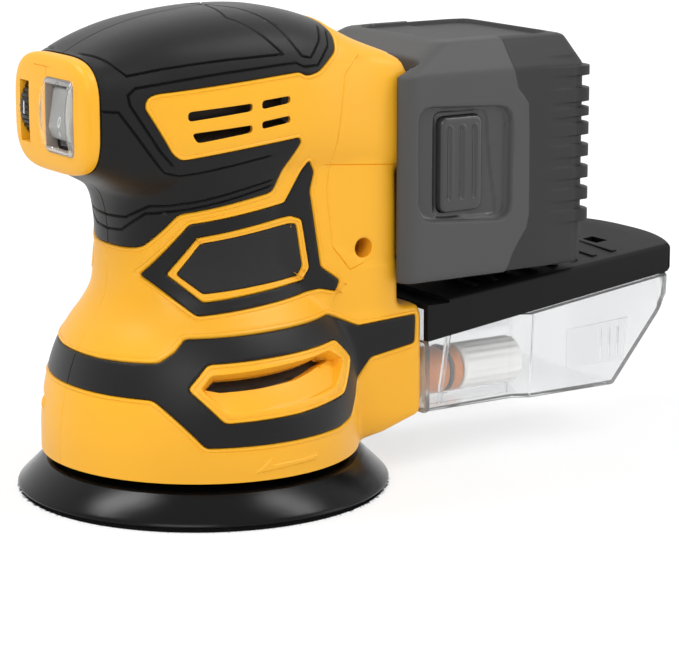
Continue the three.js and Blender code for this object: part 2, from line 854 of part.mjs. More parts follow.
function motorRotor() {
  const rotorRadius = motorRadius - motorWall - rotorGap;
  const middle = (motorBottom + motorTop) / 2;
  const height = [middle - rotorLength / 2, middle + rotorLength / 2];
  const slots = Array.from({ length: rotorSlots }, (_, at) => {
    const angle = (2 * Math.PI * at) / rotorSlots;
    const slot = new THREE.BoxGeometry(2 * rotorSlotDepth, rotorSlotWidth, rotorLength + 2 * overrun);
    slot.translate(rotorRadius, 0, middle).rotateZ(angle);
    return solid(slot);
  });
  return cut(
    rod('z', rotorRadius, height, [0, 0, 0]),
    rod('z', shaftRadius + fit, [0, span], [0, 0, 0], smallSides),
    ...slots,
  );
}

function motorMount() {
  return cut(
    rod('z', mountRadius, [upperShelfTop + fit, mountTop], [0, 0, 0]),
    rod('z', shaftRadius + 2 * fit, [0, span], [0, 0, 0], smallSides),
  );
}

function motorBearing(bottom) {
  return bearing(motorBearingRadius, shaftRadius + fit, [bottom, bottom + motorBearingWidth]);
}

const topBearingBottom = motorTop - motorLidThickness - fit;
const shaftSpanZ = [bearingTop + 2 * fit, topBearingBottom + motorBearingWidth - fit];

piece('motor_case', motorCase(), 'darkSteel');
piece('motor_lower_bearing', motorBearing(motorBottom + fit), 'steel');
piece('motor_upper_bearing', motorBearing(topBearingBottom), 'steel');
piece('motor_mount', motorMount(), 'darkGrey');
piece('motor_shaft', rod('z', shaftRadius, shaftSpanZ, [0, 0, 0], smallSides), 'steel');
piece('motor_rotor', motorRotor(), 'darkSteel');

// Fan, its shroud and the counterweight that holds the pad's bearing off the motor axis
function fan() {
  const inner = fanHubRadius - overrun;
  const blades = Array.from({ length: fanBlades }, (_, at) => {
    const blade = new THREE.BoxGeometry(fanRadius - inner, fanBladeThickness, fanHeight);
    blade.translate((fanRadius + inner) / 2, fanHubRadius / 2, fanBottom + fanHeight / 2);
    return solid(blade.rotateZ((2 * Math.PI * at) / fanBlades));
  });
  const body = join(
    rod('z', fanRadius, [fanTop - fanPlate, fanTop], [0, 0, 0], fanSides),
    rod('z', fanHubRadius, [fanBottom, fanTop], [0, 0, 0]),
    ...blades,
  ).intersect(rod('z', fanRadius, [fanBottom, fanTop], [0, 0, 0], fanSides));
  return cut(body, rod('z', shaftRadius + fit, [0, span], [0, 0, 0], smallSides));
}

function fanShroud() {
  const height = [shroudBottom, shroudTop];
  return cut(
    rod('z', shroudRadius, height, [0, 0, 0], fanSides),
    rod('z', shroudRadius - shroudWall, inward(height, shroudWall), [0, 0, 0], fanSides),
    rod('z', shroudMouthRadius, [0, shroudBottom + 2 * shroudWall], [0, 0, 0], fanSides),
    rod('z', fanHubRadius + shroudWall, [fanTop, span], [0, 0, 0]),
    rod('x', portRadius - portWall, [0, span], [0, portCentreY, portHeight]),
  );
}

function counterweight() {
  const lobe = cut(
    rod('z', lobeRadius, [weightTop - lobeThickness, weightTop], [0, 0, 0]),
    box([-lobeRadius * (1 - lobeSpreadShare), span], [-span, span], [0, span]),
  );
  return cut(
    join(rod('z', weightRadius, [bearingBottom, weightTop], [0, 0, 0]), lobe),
    rod('z', bearingRadius + fit, [0, bearingTop + fit], [orbit, 0, 0]),
    rod('z', shaftRadius + fit, [0, span], [0, 0, 0], smallSides),
  );
}

piece('fan', fan(), 'black');
piece('fan_shroud', fanShroud(), 'darkGrey');
piece('counterweight', counterweight(), 'darkSteel');

const padBearing = bearing(bearingRadius, spindleRadius + fit, [bearingBottom, bearingTop], orbit);
piece('pad_bearing', padBearing, 'steel');

// Backing pad: a rubber cone with dust holes, screwed to the spindle, with a hook layer below
function aroundPad(count, circle, make) {
  return Array.from({ length: count }, (_, at) => {
    const angle = (2 * Math.PI * (at + 1 / 2)) / count;
    return make([orbit + circle * Math.cos(angle), circle * Math.sin(angle), 0]);
  });
}

const dustHoleTools = aroundPad(dustHoles, dustHoleCircle, (place) => (
  rod('z', dustHoleRadius, [-overrun, span], place, smallSides)
));
const padScrewSeat = hookThickness + padScrewSink;

function padSpindle() {
  const body = join(
    rod('z', spindleFlangeRadius, [flangeBottom, flangeTop], [orbit, 0, 0]),
    rod('z', spindleRadius, [flangeTop - overrun, bearingTop], [orbit, 0, 0]),
  );
  return cut(body, ...aroundPad(padScrews, padScrewCircle, (place) => (
    rod('z', padScrewRadius + fit, [0, span], place, smallSides)
  )));
}

function backingPad() {
  const body = lathe([
    [0, hookThickness], [padRadius - hookInset, hookThickness], [padRadius, hookThickness + padLip / 2],
    [padRadius, hookThickness + padLip], [padRidgeRadius, padTop - padLip / 2],
    [padRidgeRadius - padLip, padTop], [0, padTop],
  ], padSides, orbit);
  const wells = aroundPad(padScrews, padScrewCircle, (place) => join(
    rod('z', padScrewHeadRadius + fit, [0, padScrewSeat + padScrewHeadHeight + fit], place, smallSides),
    rod('z', padScrewRadius + fit, [0, span], place, smallSides),
  ));
  return cut(body, ...dustHoleTools, ...wells);
}

function hookLayer() {
  const wells = aroundPad(padScrews, padScrewCircle, (place) => (
    rod('z', padScrewHeadRadius + fit, [-overrun, span], place, smallSides)
  ));
  const disc = rod('z', padRadius - hookInset, [0, hookThickness], [orbit, 0, 0], padSides);
  return cut(disc, ...dustHoleTools, ...wells);
}

piece('pad_spindle', padSpindle(), 'steel');
piece('backing_pad', backingPad(), 'black');
piece('hook_layer', hookLayer(), 'fabric');
aroundPad(padScrews, padScrewCircle, (place) => join(
  rod('z', padScrewHeadRadius, [padScrewSeat, padScrewSeat + padScrewHeadHeight], place, smallSides),
  rod('z', padScrewRadius, [padScrewSeat + overrun, flangeTop - fit], place, smallSides),
)).forEach((body, number) => piece(`pad_screw_${number + 1}`, body, 'steel'));

// Rubber seal that hangs under the lower shelf and closes the gap to the pad
function skirtSeal() {
  const roundness = Math.cos(Math.PI / innerSides);
  const outer = (skirtRadius * columnShares[1][1] - wall) * roundness - 2 * fit;
  const top = lowerShelfTop - shelfHeight - fit;
  return lathe([
    [outer - sealFlange, padTop + sealPadGap], [outer - sealFlange + sealLip, padTop + sealPadGap],
    [outer - sealFlange + sealLip, top - sealLip], [outer, top - sealLip], [outer, top],
    [outer - sealFlange, top], [outer - sealFlange, padTop + sealPadGap],
  ], fanSides);
}

piece('skirt_seal', skirtSeal(), 'rubber');

// Dust port: a tube from the shroud out through the rear block, with a sealing ring near its end
const portEnd = blockRear + portLength;

function dustPort() {
  const place = [0, portCentreY, portHeight];
  const grooveEnd = portEnd - oRingSetback;
  const groove = cut(
    rod('x', portRadius + overrun, [grooveEnd - 2 * oRingRadius, grooveEnd], place),
    rod('x', portRadius - oRingRadius / 2, [0, span], place),
  );
  return cut(
    rod('x', portRadius, [shroudRadius / 2, portEnd], place),
    rod('x', portRadius - portWall, [0, portEnd + overrun], place),
    rod('z', shroudRadius + fit, [0, span], [0, 0, 0], fanSides),
    groove,
  );
}

function portRing() {
  const place = [0, portCentreY, portHeight];
  const from = portEnd - oRingSetback - 2 * oRingRadius + fit / 2;
  return cut(
    rod('x', portRadius + oRingRadius / 3, [from, from + 2 * oRingRadius - fit], place),
    rod('x', portRadius - oRingRadius / 2 + fit / 3, [0, span], place),
  );
}

piece('dust_port', dustPort(), 'yellow');
piece('port_ring', portRing(), 'black');

// Dust box. Its rim and lid rise to the rear by the lid's tilt.
const binX = blockRear + fit;
const binRear = binX + binLength;
const tiltShare = Math.tan(lidTilt);

function rimHeight(x) {
  return lidFrontHeight + (x - binX) * tiltShare;
}

// A plan whose rear end bows out, from its front corner round to the other front corner
function rearBow(halfWidth, rear, front) {
  const arc = Array.from({ length: bowSteps + 1 }, (_, step) => {
    const across = (2 * step) / bowSteps - 1;
    return [rear - lidRearBow * across * across, across * halfWidth];
  });
  return [[front, -halfWidth], ...arc, [front, halfWidth]];
}

function binBody(depth) {
  const rise = depth > 0 ? overrun + lidThickness : -lidThickness - fit;
  const topLine = (x) => [x, rimHeight(x) + rise];
  const stepX = binX + binFrontLength;
  const slopeX = binX + binFloorLength;
  const floor = binBottom + depth;
  const rear = binRear - lidSkirtWall - fit - depth;
  const slopeTop = rimHeight(rear) - lidSkirtRear - lidThickness;
  const side = [
    [binX + depth, floor], [slopeX, floor], [rear, slopeTop], topLine(rear), topLine(binX + depth),
  ];
  const neck = binFrontHalfWidth - depth;
  const wide = binHalfWidth - depth;
  const plan = [
    [binX, -neck], [stepX, -neck], [stepX + binStepLength, -wide],
    ...rearBow(wide, rear, stepX + binStepLength).slice(1, -1),
    [stepX + binStepLength, wide], [stepX, neck], [binX, neck],
  ];
  return through(side).intersect(prism('z', plan, [0, span]));
}

function binFlangePlate() {
  const top = rimHeight(binX) - lidSkirtFront - fit;
  return box([binX, binX + binFlange], [-blockHalfWidth, blockHalfWidth], [binBottom, top]);
}

// Everything above the lower edge of the lid's skirt
function lidSkirtRoom(gap) {
  const bottom = (x, skirt) => [x, rimHeight(x) - skirt - gap];
  return through([
    bottom(binX - overrun, lidSkirtFront), bottom(binRear + overrun, lidSkirtRear),
    [binRear + overrun, span], [binX - overrun, span],
  ]);
}

function binUpperPlan(depth) {
  const rear = binRear - lidSkirtWall - 2 * fit - depth;
  return prism('z', rearBow(binFrontHalfWidth - depth, rear, binX), [0, span]);
}

// The filter sleeve rests on a cradle that stands on the floor of the bin
function filterCradle() {
  const spanY = inward([portCentreY, portCentreY], -filterRadius / 2);
  return cut(
    box([portEnd + fit, portEnd + fit + filterLength], spanY, [binBottom, portHeight]),
    rod('x', filterRadius + fit, [0, span], [0, portCentreY, portHeight]),
  );
}

function dustBin() {
  const body = join(binBody(0), binFlangePlate());
  const upper = body.intersect(lidSkirtRoom(fit)).intersect(binUpperPlan(0));
  const room = binBody(binWall).intersect(join(
    cut(box([-span, span], [-span, span], [0, span]), lidSkirtRoom(-binWall)),
    binUpperPlan(binWall),
  ));
  const mouthX = [0, binX + binFlange + binWall + overrun];
  return cut(
    join(cut(join(cut(body, lidSkirtRoom(fit)), upper), room), filterCradle()),
    rod('x', portRadius + fit + oRingRadius / 3, mouthX, [0, portCentreY, portHeight]),
  );
}

function dustLid() {
  const outerPlan = prism('z', rearBow(binHalfWidth, binRear, binX), [0, span]);
  const innerPlan = prism(
    'z',
    rearBow(binFrontHalfWidth + fit, binRear - lidSkirtWall, binX - overrun),
    [0, span],
  );
  const block = through([
    [binX, rimHeight(binX) - lidSkirtFront], [binRear, rimHeight(binRear) - lidSkirtRear],
    [binRear, rimHeight(binRear)], [binX, rimHeight(binX)],
  ]).intersect(outerPlan);
  const under = through([
    [binX - overrun, 0], [binRear + overrun, 0],
    [binRear + overrun, rimHeight(binRear + overrun) - lidThickness],
    [binX - overrun, rimHeight(binX - overrun) - lidThickness],
  ]);
  const slots = lidSlotShares.map(([along, across, length]) => {
    const x = binX + along * binLength;
    const y = across * binHalfWidth;
    const spanY = inward([y, y], (-length * lidSlotLength) / 2);
    return box([x, x + lidSlotWidth], spanY, [rimHeight(x) - lidSlotDepth, span]);
  });
  return cut(block, innerPlan.intersect(under), ...slots);
}

function filterSleeve() {
  const place = [0, portCentreY, portHeight];
  const reach = [portEnd + 2 * fit, portEnd + filterLength];
  return cut(
    rod('x', filterRadius, reach, place),
    rod('x', filterRadius - filterWall, [0, reach[1] - filterWall], place),
  );
}

piece('dust_bin', dustBin(), 'clear');
piece('filter_sleeve', filterSleeve(), 'white');
piece('dust_lid', dustLid(), 'black');

// Battery, in two cases, slid down over the rails of the rear post
const batteryX = postRear - batteryCheek;
const batteryRear = batteryX + batteryLength;
const batterySplitX = batteryX + batterySplit;
const notchX = postRear + batteryNotchDepth;
const batteryShoulderZ = batteryTop - batteryShoulder;

function batteryRing(z, depth, inset) {
  const x0 = batteryX + depth + inset / 2;
  const x1 = batteryRear - depth - inset / 2;
  const y1 = batteryHalfWidth - depth - inset;
  const corner = batteryCorner - depth / 2;
  const trim = corner * batteryTrimShare;
  const corners = [[x1, -y1, 1, -1], [x1, y1, 1, 1], [x0, y1, -1, 1], [x0, -y1, -1, -1]];
  return corners.flatMap(([x, y, towardX, towardY]) => {
    const alongSide = new THREE.Vector3(x - towardX * corner, y, z);
    const trimmed = new THREE.Vector3(x - towardX * trim, y - towardY * trim, z);
    const alongEnd = new THREE.Vector3(x, y - towardY * corner, z);
    return towardX * towardY < 0 ? [alongSide, trimmed, alongEnd] : [alongEnd, trimmed, alongSide];
  });
}

function batteryForm(depth) {
  return loft([
    batteryRing(batteryBottom + depth, depth, batteryWall),
    batteryRing(batteryBottom + batteryWall + depth, depth, 0),
    batteryRing(batteryShoulderZ, depth, 0),
    batteryRing(batteryTop - depth, depth, batteryTopInset),
  ]);
}

function railSlot() {
  const height = [batteryBottom - overrun, railTop + fit];
  const inner = railCentre - railWeb / 2 - fit;
  const outer = railCentre + railWeb / 2 + fit;
  const end = postRear + railReach + fit;
  return join(...[-1, 1].flatMap((side) => [
    box([notchX - overrun, end], aside(side, inner, outer), height),
    box([end - railLipThickness - 2 * fit, end], aside(side, inner, outer + railLip), height),
  ]));
}

function batteryRibs() {
  return join(...Array.from({ length: ribCount }, (_, at) => {
    const z = ribStart + at * ribPitch;
    const reach = batteryHalfWidth - batteryCorner;
    return box([batteryRear - overrun, batteryRear + ribDepth], [-reach, reach], [z, z + ribHeight]);
  }));
}

const recessSpanX = [batteryX + recessFront, batteryX + recessFront + recessLength];
const buttonSpanX = [batteryX + buttonFront, batteryX + buttonFront + buttonLength];
const recessFace = batteryHalfWidth - recessDepth;
const buttonBack = recessFace - batteryWall - fit;

function sideRecess(side) {
  return box(recessSpanX, aside(side, recessFace, span), [recessBottom, recessTop]);
}

// The button's way through the recess's floor, and the room that its flange moves in behind it
function buttonRoom(side) {
  const depth = buttonBack - buttonFlange - buttonTravel - fit;
  return join(
    box(inward(buttonSpanX, -fit), aside(side, buttonBack, span), [buttonBottom - fit, buttonTop + fit]),
    box(
      inward(buttonSpanX, -buttonFlange - fit),
      aside(side, depth, buttonBack + fit),
      [buttonBottom - buttonFlange - fit, buttonTop + buttonFlange + fit],
    ),
  );
}

const cellCentres = [0, 1, 2, 3, 4].map((at) => [
  batteryRear - cellSetback - cellPitchX * ((at + 1) % 2),
  batteryBottom + cellFirstZ + cellPitchZ * Math.floor(at / 2),
]);

function batteryCase() {
  const frontBlock = box(
    [notchX, notchX + batteryFrontBlock],
    [-batteryHalfWidth + batteryWall, batteryHalfWidth - batteryWall],
    [batteryBottom, batteryTop],
  ).intersect(batteryForm(0));
  const lining = join(...[-1, 1].map((side) => box(
    inward(recessSpanX, -batteryWall),
    aside(side, recessFace - batteryWall, batteryHalfWidth - batteryWall / 2),
    [recessBottom - batteryWall, recessTop + batteryWall],
  )));
  const notch = box([-span, notchX], [-postHalfWidth - 2 * fit, postHalfWidth + 2 * fit], [0, span]);
  return cut(
    join(cut(batteryForm(0), batteryForm(batteryWall)), frontBlock, lining, batteryRibs()),
    notch,
    railSlot(),
    box(
      [notchX - overrun, postRear + terminalReach + bladeReach + 2 * fit],
      [-terminalHalfWidth - fit, terminalHalfWidth + fit],
      [batteryBottom - overrun, terminalTop + contactHeight + 2 * fit],
    ),
    sideRecess(-1),
    sideRecess(1),
    buttonRoom(-1),
    buttonRoom(1),
  );
}

const batteryWhole = batteryCase();
const frontPart = box([-span, batterySplitX], [-span, span], [0, span]);
const rearPart = box([batterySplitX, span], [-span, span], [0, span]);

piece('battery_front_case', batteryWhole.intersect(frontPart), 'grey');
piece('battery_rear_case', batteryWhole.intersect(rearPart), 'darkGrey');

function cellHolder() {
  const inner = batteryForm(batteryWall + fit);
  const start = notchX + batteryFrontBlock + fit;
  const plate = box([start, span], [-holderThickness / 2, holderThickness / 2], [0, span]);
  return cut(
    plate.intersect(inner),
    ...cellCentres.map(([x, z]) => rod('y', cellRadius + fit, [-span, span], [x, 0, z])),
  );
}

piece('cell_holder', cellHolder(), 'black');
cellCentres.forEach(([x, z], number) => {
  const cell = rod('y', cellRadius, [-cellLength / 2, cellLength / 2], [x, 0, z]);
  piece(`battery_cell_${number + 1}`, cell, 'cell');
});

// Terminals: a block on the post with two blades, and the battery's contacts over them
const blockFaceX = postRear + terminalReach;

// A blade's sides, moved out by a gap
function bladeSpanY(side, gap) {
  const middle = side * bladeHalfSpacing;
  return inward([middle, middle], -bladeThickness / 2 - gap);
}

function terminalBlock() {
  return cut(terminalPocket(0), ...[-1, 1].map((side) => box(
    [blockFaceX - bladeReach / 2 - fit, span],
    bladeSpanY(side, fit / 2),
    inward([terminalBottom, terminalTop], bladeInset - fit),
  )));
}

function terminalBlade(side) {
  return box(
    [blockFaceX - bladeReach / 2, blockFaceX + bladeReach],
    bladeSpanY(side, 0),
    inward([terminalBottom, terminalTop], bladeInset),
  );
}

function batteryContacts() {
  return box(
    [notchX, blockFaceX + bladeReach + fit],
    [-terminalHalfWidth, terminalHalfWidth],
    [terminalTop + fit, terminalTop + contactHeight + fit],
  );
}

piece('terminal_block', terminalBlock(), 'black');
piece('terminal_blade_left', terminalBlade(-1), 'brass');
piece('terminal_blade_right', terminalBlade(1), 'brass');
piece('battery_contacts', batteryContacts(), 'brass');

// Release buttons: a pad in the side recess with a flange behind the wall
function releaseButton(side) {
  const inner = buttonBack - buttonFlange;
  return join(
    box(buttonSpanX, aside(side, inner, recessFace + buttonProud), [buttonBottom, buttonTop]),
    box(
      inward(buttonSpanX, -buttonFlange),
      aside(side, inner, buttonBack),
      [buttonBottom - buttonFlange, buttonTop + buttonFlange],
    ),
  );
}

piece('battery_button_left', releaseButton(-1), 'darkGrey');
piece('battery_button_right', releaseButton(1), 'darkGrey');

export default model;
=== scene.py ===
# %% [markdown]
# # A cordless orbital sander
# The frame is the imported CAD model: every named solid, standing where it belongs, in metres. This lesson
# dresses it. A solid whose shape is already right only gets a finish; the moulded skins, the rubber, the
# battery and the clear dust box get finer pieces that stand for their solids.

# %% The frame
import math

import bmesh
import bpy
import numpy as np
from mathutils import Matrix, Vector
from mathutils.bvhtree import BVHTree
from mathutils.kdtree import KDTree


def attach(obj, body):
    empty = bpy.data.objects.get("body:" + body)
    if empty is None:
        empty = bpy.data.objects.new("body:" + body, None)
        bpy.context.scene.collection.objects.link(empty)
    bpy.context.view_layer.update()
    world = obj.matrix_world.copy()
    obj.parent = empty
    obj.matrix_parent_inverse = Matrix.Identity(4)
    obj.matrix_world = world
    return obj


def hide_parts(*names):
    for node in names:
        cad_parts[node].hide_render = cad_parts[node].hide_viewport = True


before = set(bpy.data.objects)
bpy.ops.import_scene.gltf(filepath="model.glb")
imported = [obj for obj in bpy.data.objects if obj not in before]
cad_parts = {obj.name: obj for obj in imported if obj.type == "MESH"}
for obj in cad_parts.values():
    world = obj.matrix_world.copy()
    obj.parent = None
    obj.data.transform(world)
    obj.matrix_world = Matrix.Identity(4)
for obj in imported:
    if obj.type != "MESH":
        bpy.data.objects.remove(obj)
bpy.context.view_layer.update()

scene = bpy.context.scene

# %% [markdown]
# ## Camera
# The photograph was taken with a long lens from the front left, a little above the tool. A long lens keeps
# the pad and the housing from spreading apart, so the camera stands almost a metre away.

# %% Camera
azimuth, elevation, distance = math.radians(-33), math.radians(12.5), 0.967
target = Vector((0.0559, 0, 0.0462))
back = Vector((
    math.sin(azimuth) * math.cos(elevation),
    -math.cos(azimuth) * math.cos(elevation),
    math.sin(elevation),
))
camera_data = bpy.data.cameras.new("camera")
camera_data.sensor_width = 36
camera_data.lens = 36 * 2800 / 679
camera = bpy.data.objects.new("camera", camera_data)
camera.location = target + back * distance
camera.rotation_mode = "QUATERNION"
camera.rotation_quaternion = (-back).to_track_quat("-Z", "Y")
scene.collection.objects.link(camera)
scene.camera = camera
print("lens:", round(camera_data.lens, 1), "mm")

# %% [markdown]
# ## Light
# Product light is soft: a wide lamp from the front left, two narrow ones from above that draw the highlights
# on the pad, a wide one from the right, and a weak even sky. They are set so that a mid colour renders about
# as it is written. The sky shows white to the camera, to gloss and through clear plastic, which costs the
# object no extra light.

# %% Light
scene.view_settings.view_transform = "Standard"


def lamp(name, place, aim, size, power):
    data = bpy.data.lights.new(name, "AREA")
    data.shape = "RECTANGLE"
    data.size, data.size_y = size
    data.energy = power
    light = bpy.data.objects.new(name, data)
    light.location = place
    light.rotation_mode = "QUATERNION"
    light.rotation_quaternion = (Vector(place) - Vector(aim)).to_track_quat("Z", "Y")
    scene.collection.objects.link(light)


lamp("key", (-0.75, -0.75, 0.75), (0, 0, 0.08), (0.7, 0.7), 6.6)
lamp("upper left", (-0.46, 0.3, 0.96), (0.02, 0, 0.08), (0.18, 0.45), 4.4)
lamp("upper right", (0.52, -0.32, 0.94), (0.02, 0, 0.08), (0.18, 0.45), 3.2)
lamp("right fill", (0.95, -0.7, 0.35), (0.05, 0, 0.07), (0.5, 0.8), 2.4)


def add_node(tree, kind, inputs=None, **settings):
    """A node with its settings; each input gets a value, or a link from another node's socket."""
    made = tree.nodes.new(kind)
    for label, value in settings.items():
        setattr(made, label, value)
    for label, value in (inputs or {}).items():
        if isinstance(value, bpy.types.NodeSocket):
            tree.links.new(value, made.inputs[label])
        else:
            made.inputs[label].default_value = value
    return made


def seen_white(tree):
    """One to the camera, to gloss and through clear plastic, and zero to the light that falls on things."""
    path = add_node(tree, "ShaderNodeLightPath").outputs
    mask = path["Is Camera Ray"]
    for ray in ("Is Transmission Ray", "Is Glossy Ray"):
        mask = add_node(tree, "ShaderNodeMath", {0: mask, 1: path[ray]}, operation="MAXIMUM").outputs[0]
    return mask


SKY_LIGHT, SKY_SEEN = 0.4, 1.0
world = bpy.data.worlds.new("sky")
scene.world = world
world.use_nodes = True
tree = world.node_tree
tree.nodes.clear()
level = add_node(tree, "ShaderNodeMapRange",
                 {"Value": seen_white(tree), "To Min": SKY_LIGHT, "To Max": SKY_SEEN})
sky = add_node(tree, "ShaderNodeBackground", {"Color": (1, 1, 1, 1), "Strength": level.outputs[0]})
add_node(tree, "ShaderNodeOutputWorld", {"Surface": sky.outputs[0]})
print("lamps:", len(bpy.data.lights))

# %% [markdown]
# ## Floor
# A plain white table that reaches far behind the tool. To the camera a part of its white is its own, and
# this part grows with the distance from the tool, so the ground is white to the edge of the picture while
# the soft shadow under the pad still shows.

# %% Floor
SHADOW_REACH, WHITE_FROM, HALF_SIZE = 0.15, 0.5, 12
mesh = bpy.data.meshes.new("floor")
bm = bmesh.new()
bmesh.ops.create_grid(bm, x_segments=1, y_segments=1, size=HALF_SIZE)
bm.to_mesh(mesh)
bm.free()
floor = bpy.data.objects.new("floor", mesh)
scene.collection.objects.link(floor)

material = bpy.data.materials.new("table white")
material.use_nodes = True
tree = material.node_tree
tree.nodes.clear()
place = add_node(tree, "ShaderNodeTexCoord")
away = add_node(tree, "ShaderNodeVectorMath", {0: place.outputs["Object"]}, operation="LENGTH")
own = add_node(tree, "ShaderNodeMapRange",
               {"Value": away.outputs["Value"], "From Min": SHADOW_REACH, "From Max": WHITE_FROM,
                "To Min": 0.62, "To Max": 1.0})
share = add_node(tree, "ShaderNodeMath", {0: seen_white(tree), 1: own.outputs[0]}, operation="MULTIPLY")
diffuse = add_node(tree, "ShaderNodeBsdfDiffuse", {"Color": (0.9, 0.9, 0.9, 1)})
glow = add_node(tree, "ShaderNodeEmission", {"Color": (1, 1, 1, 1), "Strength": 1.12})
mix = add_node(tree, "ShaderNodeMixShader",
               {"Fac": share.outputs[0], 1: diffuse.outputs[0], 2: glow.outputs[0]})
add_node(tree, "ShaderNodeOutputMaterial", {"Surface": mix.outputs[0]})
mesh.materials.append(material)
print("floor:", mesh.name)

# %% [markdown]
# ## Finishes
# Moulded plastic is never one flat colour: it has a fine grain from the mould, its gloss changes a little
# from place to place, and its colour wanders at random between two close shades. Each of these is a node
# group with named inputs, built once and set differently in each finish.

# %% A helper for node groups


def node_group(name, inputs, outputs):
    group = bpy.data.node_groups.new(name, "ShaderNodeTree")
    for label, kind, value in inputs:
        socket = group.interface.new_socket(label, in_out="INPUT", socket_type=kind)
        socket.default_value = value
    for label, kind in outputs:
        group.interface.new_socket(label, in_out="OUTPUT", socket_type=kind)
    return group, group.nodes.new("NodeGroupInput"), group.nodes.new("NodeGroupOutput")


# %% Moulded grain: a fine bump and a gloss that wanders
grain, given, result = node_group(
    "moulded grain",
    [("Scale", "NodeSocketFloat", 4000), ("Depth", "NodeSocketFloat", 0.00003),
     ("Roughness", "NodeSocketFloat", 0.4), ("Spread", "NodeSocketFloat", 0.05)],
    [("Roughness", "NodeSocketFloat"), ("Normal", "NodeSocketVector")],
)
place = add_node(grain, "ShaderNodeTexCoord").outputs["Object"]
fine = add_node(grain, "ShaderNodeTexNoise", {"Vector": place, "Scale": given.outputs["Scale"], "Detail": 3})
bump = add_node(grain, "ShaderNodeBump",
                {"Strength": 1, "Distance": given.outputs["Depth"], "Height": fine.outputs[0]})
slow = add_node(grain, "ShaderNodeTexNoise", {"Vector": place, "Scale": 45, "Detail": 4})
centred = add_node(grain, "ShaderNodeMath", {0: slow.outputs[0], 1: 0.5}, operation="SUBTRACT")
spread = add_node(grain, "ShaderNodeMath",
                  {0: centred.outputs[0], 1: given.outputs["Spread"], 2: given.outputs["Roughness"]},
                  operation="MULTIPLY_ADD")
grain.links.new(bump.outputs[0], result.inputs["Normal"])
grain.links.new(spread.outputs[0], result.inputs["Roughness"])

# %% Colour tone: slow clouds between two close shades
tone, given, result = node_group(
    "colour tone",
    [("Colour", "NodeSocketColor", (1, 1, 1, 1)), ("Shade", "NodeSocketColor", (0, 0, 0, 1)),
     ("Scale", "NodeSocketFloat", 30), ("Amount", "NodeSocketFloat", 0.5)],
    [("Colour", "NodeSocketColor")],
)
place = add_node(tone, "ShaderNodeTexCoord").outputs["Object"]
cloud = add_node(tone, "ShaderNodeTexNoise", {"Vector": place, "Scale": given.outputs["Scale"], "Detail": 5})
amount = add_node(tone, "ShaderNodeMath", {0: cloud.outputs[0], 1: given.outputs["Amount"]},
                  operation="MULTIPLY")
mix = add_node(tone, "ShaderNodeMix",
               {"Factor": amount.outputs[0], 6: given.outputs["Colour"], 7: given.outputs["Shade"]},
               data_type="RGBA")
tone.links.new(mix.outputs[2], result.inputs["Colour"])
print("groups:", [group.name for group in bpy.data.node_groups])

# %% [markdown]
# A finish is then one Principled shader with those groups in front of it. Colours are written as they look
# on screen, so they are turned to the linear values that light works with.

# %% Finishes


def linear(red, green, blue):
    def channel(value):
        value /= 255
        return value / 12.92 if value <= 0.04045 else ((value + 0.055) / 1.055) ** 2.4
    return (channel(red), channel(green), channel(blue), 1)


def coated(name, toned, moulded):
    """A new material whose shader has the two groups in front of it, set as asked."""
    made = bpy.data.materials.new(name)
    made.use_nodes = True
    tree = made.node_tree
    shader = tree.nodes["Principled BSDF"]
    colours = add_node(tree, "ShaderNodeGroup", toned, node_tree=tone)
    surface = add_node(tree, "ShaderNodeGroup", moulded, node_tree=grain)
    tree.links.new(colours.outputs["Colour"], shader.inputs["Base Color"])
    tree.links.new(surface.outputs["Roughness"], shader.inputs["Roughness"])
    tree.links.new(surface.outputs["Normal"], shader.inputs["Normal"])
    return made, shader


def finish(name, colour, shade=None, amount=0.5, tone_scale=30, roughness=0.4, spread=0.05,
           grain_scale=4000, grain_depth=0.00003, **sockets):
    deeper = shade or [0.86 * part for part in colour]
    made, shader = coated(
        name,
        {"Colour": linear(*colour), "Shade": linear(*deeper), "Scale": tone_scale, "Amount": amount},
        {"Scale": grain_scale, "Depth": grain_depth, "Roughness": roughness, "Spread": spread},
    )
    for label, value in sockets.items():
        shader.inputs[label.replace("_", " ")].default_value = value
    return made


yellow = finish("yellow housing", (246, 180, 40), (236, 167, 32), roughness=0.4, grain_depth=0.00002,
                Specular_IOR_Level=0.35)
rubber = finish("black rubber", (20, 20, 21), (15, 15, 16), roughness=0.4, grain_scale=5200,
                grain_depth=0.00004, Specular_IOR_Level=0.2, Sheen_Weight=0.09, Sheen_Roughness=0.4)
plate_finish = finish("dark plate", (30, 30, 32), (21, 21, 23), roughness=0.66, grain_scale=2600,
                      grain_depth=0.00009, Specular_IOR_Level=0.3)
black = finish("black plastic", (20, 20, 21), (15, 15, 16), roughness=0.4, Specular_IOR_Level=0.35)
pad_black = finish("pad black", (8, 8, 9), (5, 5, 6), roughness=0.14, spread=0.03,
                   Specular_IOR_Level=0.15)
lid_black = finish("lid black", (15, 15, 16), (10, 10, 11), roughness=0.55, grain_depth=0.00005,
                   Specular_IOR_Level=0.15)
hook_cloth = finish("hook cloth", (16, 16, 17), (8, 8, 9), amount=0.9, tone_scale=900, roughness=0.95,
                    grain_scale=2500, grain_depth=0.0003, Specular_IOR_Level=0.2)
grey = finish("battery grey", (80, 80, 80), (73, 73, 74), roughness=0.5, grain_depth=0.00004,
              Specular_IOR_Level=0.2)
dark_grey = finish("battery dark grey", (54, 54, 55), (48, 48, 49), roughness=0.52, grain_depth=0.00004,
                   Specular_IOR_Level=0.18)
button_grey = finish("button grey", (56, 56, 57), (49, 49, 50), roughness=0.24, spread=0.04)
steel = finish("ground steel", (196, 198, 202), (170, 172, 176), roughness=0.28, spread=0.12,
               grain_scale=3000, grain_depth=0.00001, Metallic=1.0)
